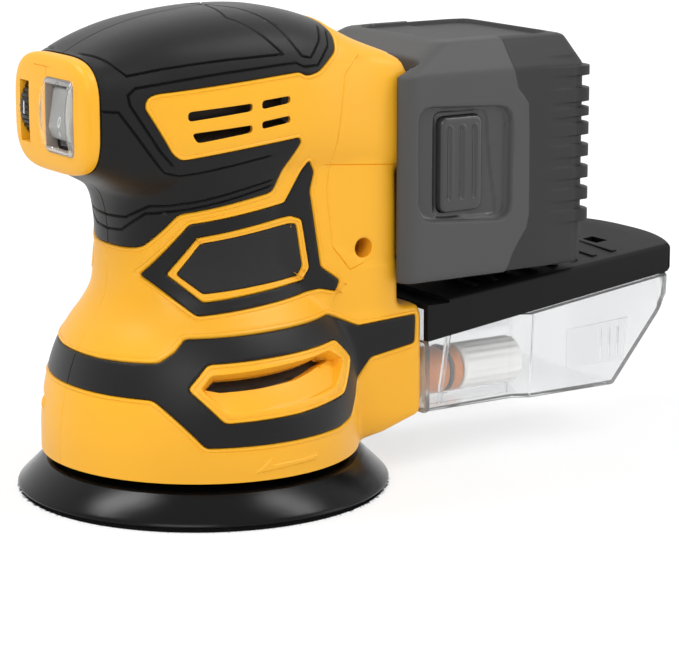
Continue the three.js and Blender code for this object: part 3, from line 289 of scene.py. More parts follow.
dark_steel = finish("blackened steel", (88, 88, 92), (70, 70, 74), roughness=0.42, spread=0.15,
                    Metallic=1.0)
brass = finish("brass", (214, 172, 84), (190, 148, 66), roughness=0.3, spread=0.1, Metallic=1.0)
filter_cloth = finish("filter cloth", (246, 246, 243), (236, 236, 232), tone_scale=300, roughness=0.9,
                      grain_scale=1500, grain_depth=0.0001)
cell_sleeve = finish("cell sleeve", (52, 132, 112), (42, 116, 98), roughness=0.4)
# The port is moulded in the housing's yellow; this deeper orange is painted shade for the port inside the
# dust box.
port_yellow_in_shade = finish("port yellow in shade", (204, 116, 12), (192, 106, 10), roughness=0.45)
print("finishes:", len(bpy.data.materials))

# %% [markdown]
# Every solid gets its finish first. The finer pieces made below take over from some of them.

# %% Finishes for the solids
solid_finishes = {
    yellow: ["left_shell", "right_shell", "front_panel"],
    port_yellow_in_shade: ["dust_port"],
    rubber: ["left_grip", "right_grip", "left_band", "right_band", "left_frame", "right_frame",
             "skirt_seal"],
    plate_finish: ["left_plate", "right_plate"],
    black: ["switch_body", "switch_rocker", "speed_dial", "fan", "port_ring", "cell_holder",
            "terminal_block"],
    lid_black: ["dust_lid"],
    pad_black: ["backing_pad"],
    hook_cloth: ["hook_layer"],
    grey: ["battery_front_case"],
    dark_grey: ["battery_rear_case", "battery_button_left", "battery_button_right", "speed_control",
                "motor_mount", "fan_shroud"],
    steel: ["motor_lower_bearing", "motor_upper_bearing", "motor_shaft", "pad_bearing", "pad_spindle",
            *[f"pad_screw_{number}" for number in range(1, 5)]],
    dark_steel: ["motor_case", "motor_rotor", "counterweight",
                 *[f"housing_screw_{number}" for number in range(1, 7)]],
    brass: ["terminal_blade_left", "terminal_blade_right", "battery_contacts"],
    filter_cloth: ["filter_sleeve"],
    cell_sleeve: [f"battery_cell_{number}" for number in range(1, 6)],
}
for look, names in solid_finishes.items():
    for name in names:
        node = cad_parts[name]
        node.data.materials.clear()
        node.data.materials.append(look)
print("solids with a finish:", sum(map(len, solid_finishes.values())))

# %% [markdown]
# ## Tools for pieces
# Shapes are drawn in millimetres, as on the CAD's drawings, and turned to metres when the piece is made. A
# loft starts as one ring of vertices that is extruded from section to section, and each ring is shaped by
# the angle that its vertices carry with them.

# %% Making a piece
MM = 0.001


def make(name, bm, look, body, stands_for=(), slot=None, smooth=40, wall=0, flat=1e9):
    limit = math.radians(smooth)
    for edge in bm.edges:
        edge.smooth = edge.calc_face_angle(9) < limit
    for face in bm.faces:
        face.smooth = face.calc_area() < flat
    bmesh.ops.scale(bm, vec=(MM, MM, MM), verts=bm.verts)
    data = bpy.data.meshes.new(name)
    bm.to_mesh(data)
    bm.free()
    data.materials.append(look)
    piece = bpy.data.objects.new(name, data)
    scene.collection.objects.link(piece)
    if wall:
        thick = piece.modifiers.new("wall", "SOLIDIFY")
        thick.thickness = wall * MM
        thick.offset = -1
    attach(piece, body)
    if stands_for:
        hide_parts(*stands_for)
    print(name, len(data.polygons), "faces")


# %% Lofts


def loft(bm, sections, sides):
    angle_of = bm.verts.layers.float.get("angle") or bm.verts.layers.float.new("angle")
    ring = bmesh.ops.create_circle(bm, cap_ends=True, radius=1, segments=sides)["verts"]
    for vert in ring:
        vert[angle_of] = math.atan2(vert.co.y, vert.co.x)
        vert.co = sections[0](vert[angle_of])
    loop = {edge for vert in ring for edge in vert.link_edges}
    for section in sections[1:]:
        grown = bmesh.ops.extrude_edge_only(bm, edges=list(loop))["geom"]
        loop = [part for part in grown if isinstance(part, bmesh.types.BMEdge)]
        for vert in {vert for edge in loop for vert in edge.verts}:
            vert.co = section(vert[angle_of])
    bmesh.ops.contextual_create(bm, geom=list(loop))
    bmesh.ops.recalc_face_normals(bm, faces=bm.faces)


def rounded(half_across, half_up, squareness, angle):
    across, up = math.cos(angle), math.sin(angle)
    return (
        half_across * math.copysign(abs(across) ** (2 / squareness), across),
        half_up * math.copysign(abs(up) ** (2 / squareness), up),
    )


def eased(rows, steps):
    rows = np.array(rows, float)
    heights = rows[:, 0]
    slopes = np.gradient(rows, heights, axis=0)
    fine = [rows[0]]
    for first in range(len(rows) - 1):
        gap = heights[first + 1] - heights[first]
        for t in np.linspace(0, 1, steps + 1)[1:]:
            fine.append(
                (2 * t**3 - 3 * t**2 + 1) * rows[first] + (t**3 - 2 * t**2 + t) * gap * slopes[first]
                + (3 * t**2 - 2 * t**3) * rows[first + 1] + (t**3 - t**2) * gap * slopes[first + 1]
            )
    return fine


# %% Plain bodies, melted skins and carving
LAID = {"x": Matrix.Rotation(math.pi / 2, 4, "Y"), "y": Matrix.Rotation(-math.pi / 2, 4, "X"), "z": Matrix()}


def boxed(bm, low, high):
    verts = bmesh.ops.create_cube(bm, size=1)["verts"]
    low, high = Vector(low), Vector(high)
    for vert in verts:
        vert.co = Vector(((vert.co[axis] + 0.5) * (high - low)[axis] + low[axis]) for axis in range(3))
    return verts


def rod(bm, axis, radius, span, centre, segments):
    place = Vector(centre)
    place["xyz".index(axis)] = (span[0] + span[1]) / 2
    bmesh.ops.create_cone(bm, cap_ends=True, segments=segments, radius1=radius, radius2=radius,
                          depth=span[1] - span[0], matrix=Matrix.Translation(place) @ LAID[axis])


def slab(bm, outline, low, high):
    """An outline drawn from above and drawn up between two heights."""
    ring = bmesh.ops.create_circle(bm, cap_ends=True, radius=1, segments=len(outline))["verts"]
    for vert, (x, y) in zip(ring, outline):
        vert.co = (x, y, low)
    grown = bmesh.ops.extrude_face_region(bm, geom=list(ring[0].link_faces))["geom"]
    bmesh.ops.translate(bm, vec=(0, 0, high - low),
                        verts=[part for part in grown if isinstance(part, bmesh.types.BMVert)])
    bmesh.ops.recalc_face_normals(bm, faces=bm.faces)


def turned(bm, profile, steps=96, axis="z", centre=(0, 0, 0), closed=False):
    """A profile of radius and height, turned round an axis; a closed one makes a ring."""
    verts = [bm.verts.new((radius, 0, height)) for radius, height in profile]
    edges = [bm.edges.new(pair) for pair in zip(verts, verts[1:])]
    if closed:
        edges.append(bm.edges.new((verts[-1], verts[0])))
    bmesh.ops.spin(bm, geom=[*verts, *edges], cent=(0, 0, 0), axis=(0, 0, 1), angle=2 * math.pi,
                   steps=steps, use_merge=True)
    bmesh.ops.remove_doubles(bm, verts=bm.verts, dist=0.0005)
    bmesh.ops.transform(bm, matrix=Matrix.Translation(centre) @ LAID[axis], verts=bm.verts)
    bmesh.ops.recalc_face_normals(bm, faces=bm.faces)


def bevel_edges(bm, chosen, offset, segments=3):
    bmesh.ops.bevel(bm, geom=[edge for edge in bm.edges if chosen(edge)], offset=offset, segments=segments,
                    profile=0.5, affect="EDGES", material=-1)


def runs_along(axis, length):
    """Picks the edges that reach further along an axis than the length."""
    at = "xyz".index(axis)
    return lambda edge: abs(edge.verts[0].co[at] - edge.verts[1].co[at]) > length


def sharper_than(angle):
    """Picks the edges whose faces meet at more than the angle, in radians."""
    return lambda edge: edge.calc_face_angle(0) > angle


def to_side(bm, side):
    """Leaves a piece on its side for 1, and mirrors it to the other for -1."""
    bmesh.ops.scale(bm, vec=(1, side, 1), verts=bm.verts)
    bmesh.ops.recalc_face_normals(bm, faces=bm.faces)


def face_middles(bm):
    return np.array([face.calc_center_median()[:] for face in bm.faces])


def settle(bm):
    """Makes triangles of the faces that scoring left with many corners."""
    bmesh.ops.triangulate(bm, faces=[face for face in bm.faces if len(face.verts) > 4])
    bm.normal_update()


def reworked(bm, cutters=(), joins=(), voxel=0, smoothing=0):
    """The body with others joined to it and cut from it, and if asked for melted into one skin."""
    helpers = []

    def helper(part, name):
        data = bpy.data.meshes.new(name)
        part.to_mesh(data)
        part.free()
        helpers.append(bpy.data.objects.new(name, data))
        scene.collection.objects.link(helpers[-1])
        return helpers[-1]

    draft = helper(bm, "draft")
    for operation, parts in (("UNION", joins), ("DIFFERENCE", cutters)):
        for part in parts:
            change = draft.modifiers.new(operation.lower(), "BOOLEAN")
            change.operation, change.solver, change.object = operation, "EXACT", helper(part, "tool")
            change.use_self = True
    if voxel:
        melt = draft.modifiers.new("melt", "REMESH")
        melt.mode, melt.voxel_size = "VOXEL", voxel
        even = draft.modifiers.new("even", "SMOOTH")
        even.factor, even.iterations = 0.5, smoothing
    made = bmesh.new()
    made.from_object(draft, bpy.context.evaluated_depsgraph_get())
    for part in helpers:
        bpy.data.objects.remove(part)
    made.normal_update()
    return made


def dealt(name, bm, keep, relief, directions, look, body, stands_for, slot, wall):
    """A piece from the faces of a skin that are kept, its points moved by the relief."""
    part = bm.copy()
    for vert, height, direction in zip(part.verts, relief, directions):
        vert.co += Vector(direction * height)
    bmesh.ops.delete(part, geom=[face for face, kept in zip(part.faces, keep) if not kept], context="FACES")
    make(name, part, look, body, stands_for, slot, wall=wall)


# %% [markdown]
# ## The housing's skin
# The real housing is two moulded halves whose outside swells from a narrow neck to the skirt over the pad
# and to the palm grip on top. Four lofts give its column, its grip, the post that carries the battery and
# the block that carries the dust box. A voxel remesh melts them into one skin and a little smoothing blends
# their joints, which four separate shells would show as hard creases.

# %% Section tables of the housing
column_rows = [
    (0, 0.965, 0.965, 0.985, 2), (0.12, 0.958, 0.958, 0.995, 2), (0.265, 0.909, 0.935, 0.965, 2.05),
    (0.378, 0.838, 0.89, 0.885, 2.1), (0.445, 0.77, 0.84, 0.8, 2.15), (0.5, 0.7, 0.78, 0.715, 2.2),
    (0.56, 0.646, 0.74, 0.64, 2.25), (0.64, 0.627, 0.73, 0.595, 2.3), (0.82, 0.625, 0.73, 0.588, 2.3),
    (0.89, 0.655, 0.74, 0.59, 2.3), (1, 0.8, 0.8, 0.6, 2.5),
]
head_rows = [
    (0, 0.2, 0.8, 0.71, 3.4), (0.06, 0.14, 0.855, 0.765, 3.2), (0.18, 0.04, 0.93, 0.895, 2.9),
    (0.34, 0, 0.982, 0.975, 2.7), (0.513, 0, 1, 1, 2.7), (0.66, 0, 0.98, 1, 2.7),
    (0.77, 0, 0.925, 0.96, 2.9), (0.88, 0.04, 0.815, 0.91, 4), (1, 0.1, 0.72, 0.89, 7),
]
post_rows = [(0, 0.985, 0.99, 10), (0.5, 0.97, 0.985, 12), (0.8, 0.97, 0.985, 12), (0.93, 1, 1, 12),
             (1, 1.06, 0.99, 12)]
block_rows = [(0, 0.5, 0.9, 8), (0.06, 0.72, 0.97, 12), (0.17, 1, 1, 16), (0.93, 1, 1, 16),
              (1, 0.99, 0.98, 12)]
SKIRT_RADIUS, SKIRT_BOTTOM, COLUMN_HEIGHT = 55, 14, 98
POST_LENGTH, POST_HALF_WIDTH, BLOCK_LENGTH, BLOCK_HALF_WIDTH = 62, 32.5, 69, 33
HEAD_FRONT, HEAD_LENGTH, HEAD_HEIGHT, HEAD_HALF_WIDTH = -49, 111, 63, 36
HEAD_BOTTOM = SKIRT_BOTTOM + 0.857 * COLUMN_HEIGHT

# %% Lofts of the housing


def column_section(row):
    height, front, rear, side, squareness = row

    def place(angle):
        across, up = rounded((rear + front) / 2 * SKIRT_RADIUS, side * SKIRT_RADIUS, squareness, angle)
        return ((rear - front) / 2 * SKIRT_RADIUS + across, up, SKIRT_BOTTOM + height * COLUMN_HEIGHT)
    return place


def head_section(row):
    along, bottom, top, side, squareness = row

    def place(angle):
        across, up = rounded(side * HEAD_HALF_WIDTH, (top - bottom) / 2 * HEAD_HEIGHT, squareness, angle)
        middle = HEAD_BOTTOM + (bottom + top) / 2 * HEAD_HEIGHT
        return (HEAD_FRONT + along * HEAD_LENGTH, across, middle + up)
    return place


def upright_section(row, front, rear, half_width, bottom, top):
    height, reach, side, squareness = row
    length = reach * (rear - front)

    def place(angle):
        across, up = rounded(length / 2, side * half_width, squareness, angle)
        return (front + length / 2 + across, up, bottom + height * (top - bottom))
    return place


bm = bmesh.new()
below, before = (-0.04, *column_rows[0][1:]), (-0.03, *head_rows[0][1:])
loft(bm, [column_section(row) for row in [below, *eased(column_rows, 5)]], 112)
loft(bm, [head_section(row) for row in [before, *eased(head_rows, 6)]], 96)
post_size = (0.13 * POST_LENGTH, POST_LENGTH, POST_HALF_WIDTH, SKIRT_BOTTOM + 0.32 * COLUMN_HEIGHT,
             SKIRT_BOTTOM + 1.265 * COLUMN_HEIGHT)
loft(bm, [upright_section(row, *post_size) for row in eased(post_rows, 4)], 96)
block_size = (0.29 * BLOCK_LENGTH, BLOCK_LENGTH, BLOCK_HALF_WIDTH, SKIRT_BOTTOM,
              SKIRT_BOTTOM + 0.459 * COLUMN_HEIGHT)
loft(bm, [upright_section(row, *block_size) for row in [(-0.08, 0.5, 0.9, 8), *block_rows]], 96)
skin = reworked(bm, voxel=1.12, smoothing=5)
for place, outwards in [((0, 0, SKIRT_BOTTOM), (0, 0, -1)), ((HEAD_FRONT, 0, 0), (-1, 0, 0))]:
    near = {face for face in skin.faces if outwards[2] or face.calc_center_median().z > HEAD_BOTTOM}
    near |= {part for face in near for part in (*face.edges, *face.verts)}
    bmesh.ops.bisect_plane(skin, geom=list(near), plane_co=place, plane_no=outwards, clear_outer=True)
skin.normal_update()
print("skin:", len(skin.faces), "faces")

# %% [markdown]
# ## Scoring the skin
# Rubber, plate, pockets and seams are all drawn on the skin from the side. Each line is scored into the
# skin: every face that the line crosses is cut by a plane, so that its edge runs exactly along the line.
# Parallel scores beside it give the groove or the step its crisp sides, and then the vertices are moved in
# or out by their distance from the line. This keeps one smooth skin on which the parts meet without a gap.

# %% Outlines in the side view


def on_head(shares):
    return [(HEAD_FRONT + along * HEAD_LENGTH, HEAD_BOTTOM + up * HEAD_HEIGHT) for along, up in shares]


def on_column(shares):
    return [(along * SKIRT_RADIUS, SKIRT_BOTTOM + up * COLUMN_HEIGHT) for along, up in shares]


def softened(outline, radius):
    soft = []
    for at, corner in enumerate(outline):
        corner = Vector(corner)
        before, after = Vector(outline[at - 1]), Vector(outline[(at + 1) % len(outline)])
        reach = min(radius, (before - corner).length / 2.2, (after - corner).length / 2.2)
        start = corner + (before - corner).normalized() * reach
        end = corner + (after - corner).normalized() * reach
        for t in (0, 1 / 3, 2 / 3, 1):
            soft.append(tuple(start * (1 - t) ** 2 + corner * 2 * t * (1 - t) + end * t**2))
    return soft


grip_outline = softened(on_head([
    (0.76, 1.3), (0.775, 0.86), (0.75, 0.774), (0.671, 0.683), (0.627, 0.668), (0.602, 0.692),
    (0.149, 0.628), (0.124, 0.608), (0.117, 0.56), (0.128, 0.527), (0.197, 0.314), (0.223, 0.283),
    (0.599, 0.355), (0.607, 0.331), (0.524, 0.078),
]) + on_column([
    (-0.406, 0.853), (-0.553, 0.739), (-0.6, 0.729), (-1.3, 0.727),
]) + on_head([(-0.3, 1.3)]), 1.6)
band_outline = softened(on_column([
    (-1.3, 0.374), (-0.83, 0.376), (-0.625, 0.385), (-0.537, 0.419), (-0.462, 0.46), (0.543, 0.474),
    (0.76, 0.418), (1.189, 0.431), (1.181, 0.33), (0.857, 0.302), (0.6, 0.136), (0.45, 0.122),
    (-0.466, 0.119), (-0.687, 0.271), (-1.3, 0.269),
]), 1.2)
rim_outline = softened(on_column([
    (-0.526, 0.309), (-0.398, 0.385), (0.511, 0.403), (0.66, 0.325), (0.51, 0.227), (0.113, 0.207),
    (-0.36, 0.198),
]), 1.6)
pocket_outline = softened(on_column([
    (-0.463, 0.309), (-0.395, 0.352), (0.432, 0.379), (0.56, 0.335), (0.43, 0.262), (0.102, 0.24),
    (-0.338, 0.228),
]), 1.2)
slot_outline = softened([(-24.6, 44.5), (-21.3, 47.9), (23.4, 50.5), (28.2, 47.9), (21, 47.4), (8, 45),
                         (-7, 43.9), (-20, 43.4)], 0.8)
frame_outline = softened(on_column([
    (-0.57, 0.647), (-0.349, 0.819), (0.252, 0.865), (0.41, 1.002), (0.462, 0.962), (0.431, 0.898),
    (0.506, 0.635), (0.64, 0.582), (0.612, 0.546), (0.499, 0.562), (-0.357, 0.524),
]), 1.0)
ring_outline = softened(on_column([
    (-0.466, 0.654), (-0.306, 0.774), (0.291, 0.821), (0.371, 0.806), (0.425, 0.637), (0.371, 0.596),
    (-0.303, 0.564),
]), 1.0)
plate_outline = softened(on_column([
    (-0.421, 0.654), (-0.289, 0.755), (0.296, 0.796), (0.336, 0.791), (0.378, 0.646), (0.342, 0.614),
    (-0.295, 0.59),
]), 1.0)
vent_outlines = [softened(on_head(shares), 1.4) for shares in [
    [(0.238, 0.531), (0.441, 0.553), (0.44, 0.514), (0.238, 0.482)],
    [(0.472, 0.562), (0.566, 0.576), (0.566, 0.54), (0.471, 0.518)],
    [(0.249, 0.421), (0.44, 0.443), (0.44, 0.405), (0.266, 0.369)],
    [(0.471, 0.455), (0.565, 0.475), (0.566, 0.44), (0.472, 0.417)],
]]
print("outlines:", 8 + len(vent_outlines))

# %% Distances to a path
SIDE, TOP, FAR = (0, 2), (0, 1), 9


def path_distance(points, path, closed):
    """How far each point lies from a path of points in the same plane or space."""
    corners = np.array(path, float)
    starts, ends = corners[:-1], corners[1:]
    if closed:
        starts, ends = corners, np.roll(corners, -1, axis=0)
    nearest = np.full(len(points), np.inf)
    for start, end in zip(starts, ends):
        along = end - start
        share = np.clip((points - start) @ along / max(along @ along, 1e-9), 0, 1)
        gap = np.linalg.norm(points - start - share[:, None] * along, axis=1)
        nearest = np.minimum(nearest, gap)
    return nearest


def outline_distance(points, outline):
    """The distance to a closed outline, below zero inside it."""
    corners = np.array(outline, float)
    inside = np.zeros(len(points), bool)
    for start, end in zip(corners, np.roll(corners, -1, axis=0)):
        if start[1] != end[1]:
            crosses = (start[1] > points[:, 1]) != (end[1] > points[:, 1])
            at = start[0] + (points[:, 1] - start[1]) * (end[0] - start[0]) / (end[1] - start[1])
            inside ^= crosses & (points[:, 0] < at)
    return np.where(inside, -1, 1) * path_distance(points, outline, True)


# %% Scoring lines
REACH, SNAP = 0.9, 0.05


def slice_faces(faces, place, normal):
    """Cut a set of faces by a plane, with splits that touch only them; new faces join the set."""
    heights = {vert: (vert.co - place).dot(normal) for face in faces for vert in face.verts}
    for vert, height in heights.items():
        if abs(height) < SNAP:
            vert.co -= normal * height
            heights[vert] = 0
    for edge in {edge for face in faces for edge in face.edges}:
        first, second = edge.verts
        low, high = heights[first], heights[second]
        if low * high < 0:
            heights[bmesh.utils.edge_split(edge, first, low / (low - high))[1]] = 0
    for face in list(faces):
        ends = [vert for vert in face.verts if heights[vert] == 0]
        if len(ends) == 2 and not any(edge.other_vert(ends[0]) is ends[1] for edge in ends[0].link_edges):
            made = bmesh.utils.face_split(face, *ends)
            if made:
                faces.add(made[0])


class Sheet:
    """A mesh that is being scored, with the centres of its faces at hand."""

    def __init__(self, bm):
        self.bm = bm
        self.faces = list(bm.faces)
        self.centres = face_middles(bm)

    def score(self, path, planes, view=(0, 1, 2), closed=False, allowed=None):
        """Cut along a path; each stretch of it has its own planes, given as place and normal."""
        path = np.array(path, float)
        reach = REACH + 1.1
        gaps = path_distance(self.centres[:, view], path, closed)
        chosen = [at for at in np.flatnonzero(gaps < reach) if allowed is None or allowed(self.faces[at])]
        faces = [self.faces[at] for at in chosen]
        centres = self.centres[chosen][:, view]
        first_new = len(faces)
        ends = np.roll(path, -1, axis=0) if closed else path[1:]
        for start, end, cuts in zip(path, ends, planes):
            along = end - start
            share = np.clip((centres - start) @ along / max(along @ along, 1e-9), 0, 1)
            gap = np.linalg.norm(centres - start - share[:, None] * along, axis=1)
            near_at = np.flatnonzero(gap < REACH + 0.7)
            near = {faces[at] for at in near_at}
            for place, normal in cuts:
                slice_faces(near, place, normal)
            fresh = list(near - {faces[at] for at in near_at})
            faces += fresh
            for at in near_at:
                centres[at] = np.array(faces[at].calc_center_median()[:])[list(view)]
            middles = [np.array(face.calc_center_median()[:])[list(view)] for face in fresh]
            centres = np.vstack([centres, np.array(middles).reshape(-1, len(view))])
        new = faces[first_new:]
        for at, face in zip(chosen, faces):
            self.centres[at] = face.calc_center_median()[:]
        self.faces += new
        middles = [face.calc_center_median()[:] for face in new]
        self.centres = np.vstack([self.centres, np.array(middles).reshape(-1, 3)])

    def outline(self, outline, offsets, view=SIDE, allowed=None, closed=True):
        """Score a line that is drawn in one view, with parallel scores beside it."""
        depth = ({0, 1, 2} - set(view)).pop()
        planes = []
        for start, end in zip(outline, outline[1:] + outline[:1]):
            along, sight, place = Vector((0, 0, 0)), Vector((0, 0, 0)), Vector((0, 0, 0))
            along[view[0]], along[view[1]] = end[0] - start[0], end[1] - start[1]
            sight[depth] = 1
            place[view[0]], place[view[1]] = start
            normal = along.cross(sight).normalized()
            planes.append([(place + normal * offset, normal) for offset in offsets])
        self.score(outline, planes, view=view, closed=closed, allowed=allowed)

    def line(self, laid, offsets):
        """Score a path that lies on the surface."""
        planes = []
        for (start, normal_a), (end, normal_b) in zip(laid, laid[1:]):
            across = (end - start).cross(normal_a + normal_b).normalized()
            planes.append([(start + across * offset, across) for offset in offsets])
        self.score([place[:] for place, _ in laid], planes)


def laid_on(tree, path, step=2.5):
    """A path of points in space, resampled and laid on a surface."""
    fine = []
    for start, end in zip(path, path[1:]):
        start, end = Vector(start), Vector(end)
        count = max(1, round((end - start).length / step))
        fine += [start.lerp(end, at / count) for at in range(count)]
    fine.append(Vector(path[-1]))
    return [tree.find_nearest(point)[:2] for point in fine]


# %% [markdown]
# The grip's rubber also carries grooves: a long one along its lower edge that runs up over the top, two
# chevrons behind it, and two curved lines on the neck. They run alike on both sides, so each is drawn on
# the left and mirrored. The post has a seam where the rear shell section begins.

# %% Grooves and seams
skin_tree = BVHTree.FromBMesh(skin)
plain_normals = [vert.normal.copy() for vert in skin.verts]
plain_points = KDTree(len(skin.verts))
for at, vert in enumerate(skin.verts):
    plain_points.insert(vert.co, at)
plain_points.balance()
left_grooves = {
    "grip edge": [(-47.6, -9.2, 149), (-40.5, -26.4, 143.3), (13.1, -32.8, 147.2), (0.2, -18.9, 158.3),
                  (2.6, 0, 160.9)],
    "first chevron": [(2.9, 0, 160.7), (20, -33.1, 146.2), (23.2, -33.2, 145.5), (29.4, -28.5, 150.5),
                      (32.7, -22.2, 154)],
    "grip border": [(-26.6, -30.9, 114.1), (-31.3, -31, 119.3), (-40.4, -28.3, 134.2), (-41, -28.1, 137.4),
                    (-38.5, -28.4, 139.5), (17.1, -33.9, 144.3), (19.9, -34.4, 142.9), (25.3, -33.9, 143),
                    (32.3, -29.5, 148.8), (34.6, -24.3, 152.5)],
    "nose edge": [(-48.6, -25.4, 132.6), (-43.9, -27, 132.2), (-29, -29.5, 112), (-23.8, -30.1, 110.6),
                  (7.5, -34.2, 115.1)],
    "upper neck line": [(-34.2, 0, 95.2), (-33.2, -11.1, 95.8), (-29.4, -20.1, 100.3), (9, -32.2, 106.9)],
    "lower neck line": [(-34, 0, 90.5), (-33.4, -8.4, 91.2), (-30, -18.3, 97.6), (8.3, -32.1, 105)],
}
left_seams = {
    "post seam": [(43.7, -29.8, 144.7), (36.2, -33.6, 139.1), (34.8, -34.6, 132.8), (30.2, -32, 101.6),
                  (32.4, -32.2, 82.5), (39.4, -32.4, 74), (44.6, -32.3, 75.8)],
    "cross seam": [(29.5, -32, 109.9), (59.8, -30.4, 107.4)],
}


def mirrored(path):
    return [(x, -y, z) for x, y, z in path]


grooves = [laid_on(skin_tree, line) for path in left_grooves.values() for line in (path, mirrored(path))]
seams = [laid_on(skin_tree, line) for path in left_seams.values() for line in (path, mirrored(path))]
print("grooves:", len(grooves), "seams:", len(seams))

# %% Score the skin
WELL_RADIUS = 3.4
screw_places = [on_column([place])[0] for place in [(0.816, 0.682), (1.02, 0.38), (-0.822, 0.16)]]
screw_places += on_head([(0.228, 0.736), (0.768, 0.643), (0.872, 0.379)])
screw_sides = [-1, 1, 1, 1, 1, 1]
arrow_outline = [(-10.8, 16.6), (-5, 21.3), (-4.7, 19), (12.9, 19.6), (12.9, 18), (0, 17.5)]


def circle(centre, radius, count=28):
    turns = np.linspace(0, 2 * math.pi, count, endpoint=False)
    return [(centre[0] + radius * math.cos(turn), centre[1] + radius * math.sin(turn)) for turn in turns]


def on_flank(face):
    return abs(face.normal.y) > 0.4


sheet = Sheet(skin)
for outline in [grip_outline, band_outline, rim_outline, frame_outline, ring_outline, plate_outline]:
    sides = (-0.5, -0.15, 0.15, 0.45, 1.0, 1.3)
    if outline in (rim_outline, ring_outline):
        sides = [-offset for offset in sides]
    sheet.outline(outline, sides)
sheet.outline(pocket_outline, (-0.5, 0, 0.4))
sheet.outline(slot_outline, (-0.3, 0), allowed=on_flank)
for outline in vent_outlines:
    sheet.outline(outline, (0, 0.5), allowed=on_flank)
for place, side in zip(screw_places, screw_sides):
    sheet.outline(circle(place, WELL_RADIUS), (0, 0.4), allowed=lambda face: face.normal.y * side > 0.2)
sheet.outline(arrow_outline, (-0.3, 0), allowed=lambda face: face.normal.y < -0.4)
for laid in grooves:
    sheet.line(laid, (-0.55, 0, 0.55))
for laid in seams:
    sheet.line(laid, (-0.3, 0, 0.3))
near_middle = {face for face in skin.faces if abs(face.calc_center_median().y) < 1.5}
for offset in (-0.3, 0, 0.3):
    slice_faces(near_middle, Vector((0, offset, 0)), Vector((0, 1, 0)))
settle(skin)
print("scored skin:", len(skin.faces), "faces")

# %% [markdown]
# ## Relief
# Each point of the skin now moves by its distance from the lines. Beside every inlay the yellow has a low
# bead, and the rubber's edge is rounded; under the rubber the shell keeps a bed of the rubber's thickness,
# so both are whole pieces. The pocket is a scoop that is deepest under its upper edge, where a slot lies
# deeper still; the slot's floor is black, which paints the shade under that edge.

# %% Distances from the lines
points = np.array([vert.co[:] for vert in skin.verts])


def plain_normal(point):
    """The direction of the skin as it was before scoring, which left thin faces."""
    total = Vector((0, 0, 0))
    for _, at, gap in plain_points.find_n(point, 4):
        total += plain_normals[at] / (gap + 0.1)
    return total.normalized()


normals = np.array([plain_normal(vert.co)[:] for vert in skin.verts])
side_view = points[:, SIDE]
flank = np.sign(points[:, 1]) * (np.abs(normals[:, 1]) > 0.3)


def inlay_distance(view):
    """Signed distances from grip, band, frame and plate, below zero inside."""
    band = np.maximum(outline_distance(view, band_outline), -outline_distance(view, rim_outline))
    frame_gap = np.maximum(outline_distance(view, frame_outline), -outline_distance(view, ring_outline))
    return np.array([outline_distance(view, grip_outline), band, frame_gap,
                     outline_distance(view, plate_outline)])


inlays = inlay_distance(side_view)
gap = inlays.min(axis=0)
which = inlays.argmin(axis=0)
pocket = outline_distance(side_view, pocket_outline)
slot = outline_distance(side_view, slot_outline)
arrow = np.where(flank < 0, outline_distance(side_view, arrow_outline), FAR)
vents = np.min([
    np.where(flank != 0, outline_distance(side_view, outline), FAR) for outline in vent_outlines
], axis=0)
wells = np.min([
    np.where(points[:, 1] * side > 0, outline_distance(side_view, circle(place, WELL_RADIUS)), FAR)
    for place, side in zip(screw_places, screw_sides)
], axis=0)
groove = np.min([path_distance(points, [place[:] for place, _ in laid], False) for laid in grooves], axis=0)
seam = np.min([path_distance(points, [place[:] for place, _ in laid], False) for laid in seams], axis=0)

# %% Heights of the relief, in millimetres along the normal
SHELL_WALL, RUBBER_WALL, PLATE_WALL, BED_GAP = 2.4, 1.4, 0.8, 0.3
POCKET_DEPTH, SLOT_DEPTH = 5, 3.5
seam_line = sorted((z, x) for x, _, z in left_seams["post seam"])
seam_x = np.interp(points[:, 2], [z for z, _ in seam_line], [x for _, x in seam_line])
behind = (points[:, 2] > 75) & (points[:, 2] < 144) & (np.abs(points[:, 1]) > 20)
step = -0.3 * np.clip((points[:, 0] - seam_x) / 0.3, 0, 1) * behind
shared = -0.8 * np.clip(1 - groove / 0.55, 0, 1)
shared -= 0.25 * np.clip(1 - np.abs(points[:, 1]) / 0.3, 0, 1)
shared -= 0.25 * np.interp(wells, [0, 0.4], [1, 0])
bead = np.interp(gap, [0.15, 0.45, 1.0, 1.3, 1.7], [-0.12, 0.3, 0.3, -0.12, 0])
bead = np.where((which < 3) & (gap > 0.149), bead, 0)
low, high = 0.228, 0.379
rise = np.clip(((points[:, 2] - SKIRT_BOTTOM) / COLUMN_HEIGHT - low) / (high - low), 0, 1)
scoop = POCKET_DEPTH * rise * np.clip(-pocket / 0.5, 0, 1) + 0.15 * np.interp(pocket, [0, 0.4], [1, 0])
scoop = np.where(flank != 0, scoop + SLOT_DEPTH * np.interp(slot, [-0.3, 0], [1, 0]), 0)
bed = np.where(which == 3, PLATE_WALL, RUBBER_WALL) + BED_GAP
bed *= np.clip((0.15 - gap) / 0.3, 0, 1)
raised = 0.3 * np.clip(-arrow / 0.3, 0, 1)
shell_relief = np.where(
    gap > 0.14,
    shared + bead + step - 0.4 * np.clip(1 - seam / 0.3, 0, 1) - scoop + raised
    - 0.15 * np.interp(vents, [0, 0.5], [1, 0]),
    -0.12 - bed,
)
inlay_relief = shared - 0.22 * np.clip((gap + 0.5) / 0.35, 0, 1) - 0.2 * (which == 3)
print("relief from", round(float(shell_relief.min()), 2), "to", round(float(shell_relief.max()), 2), "mm")
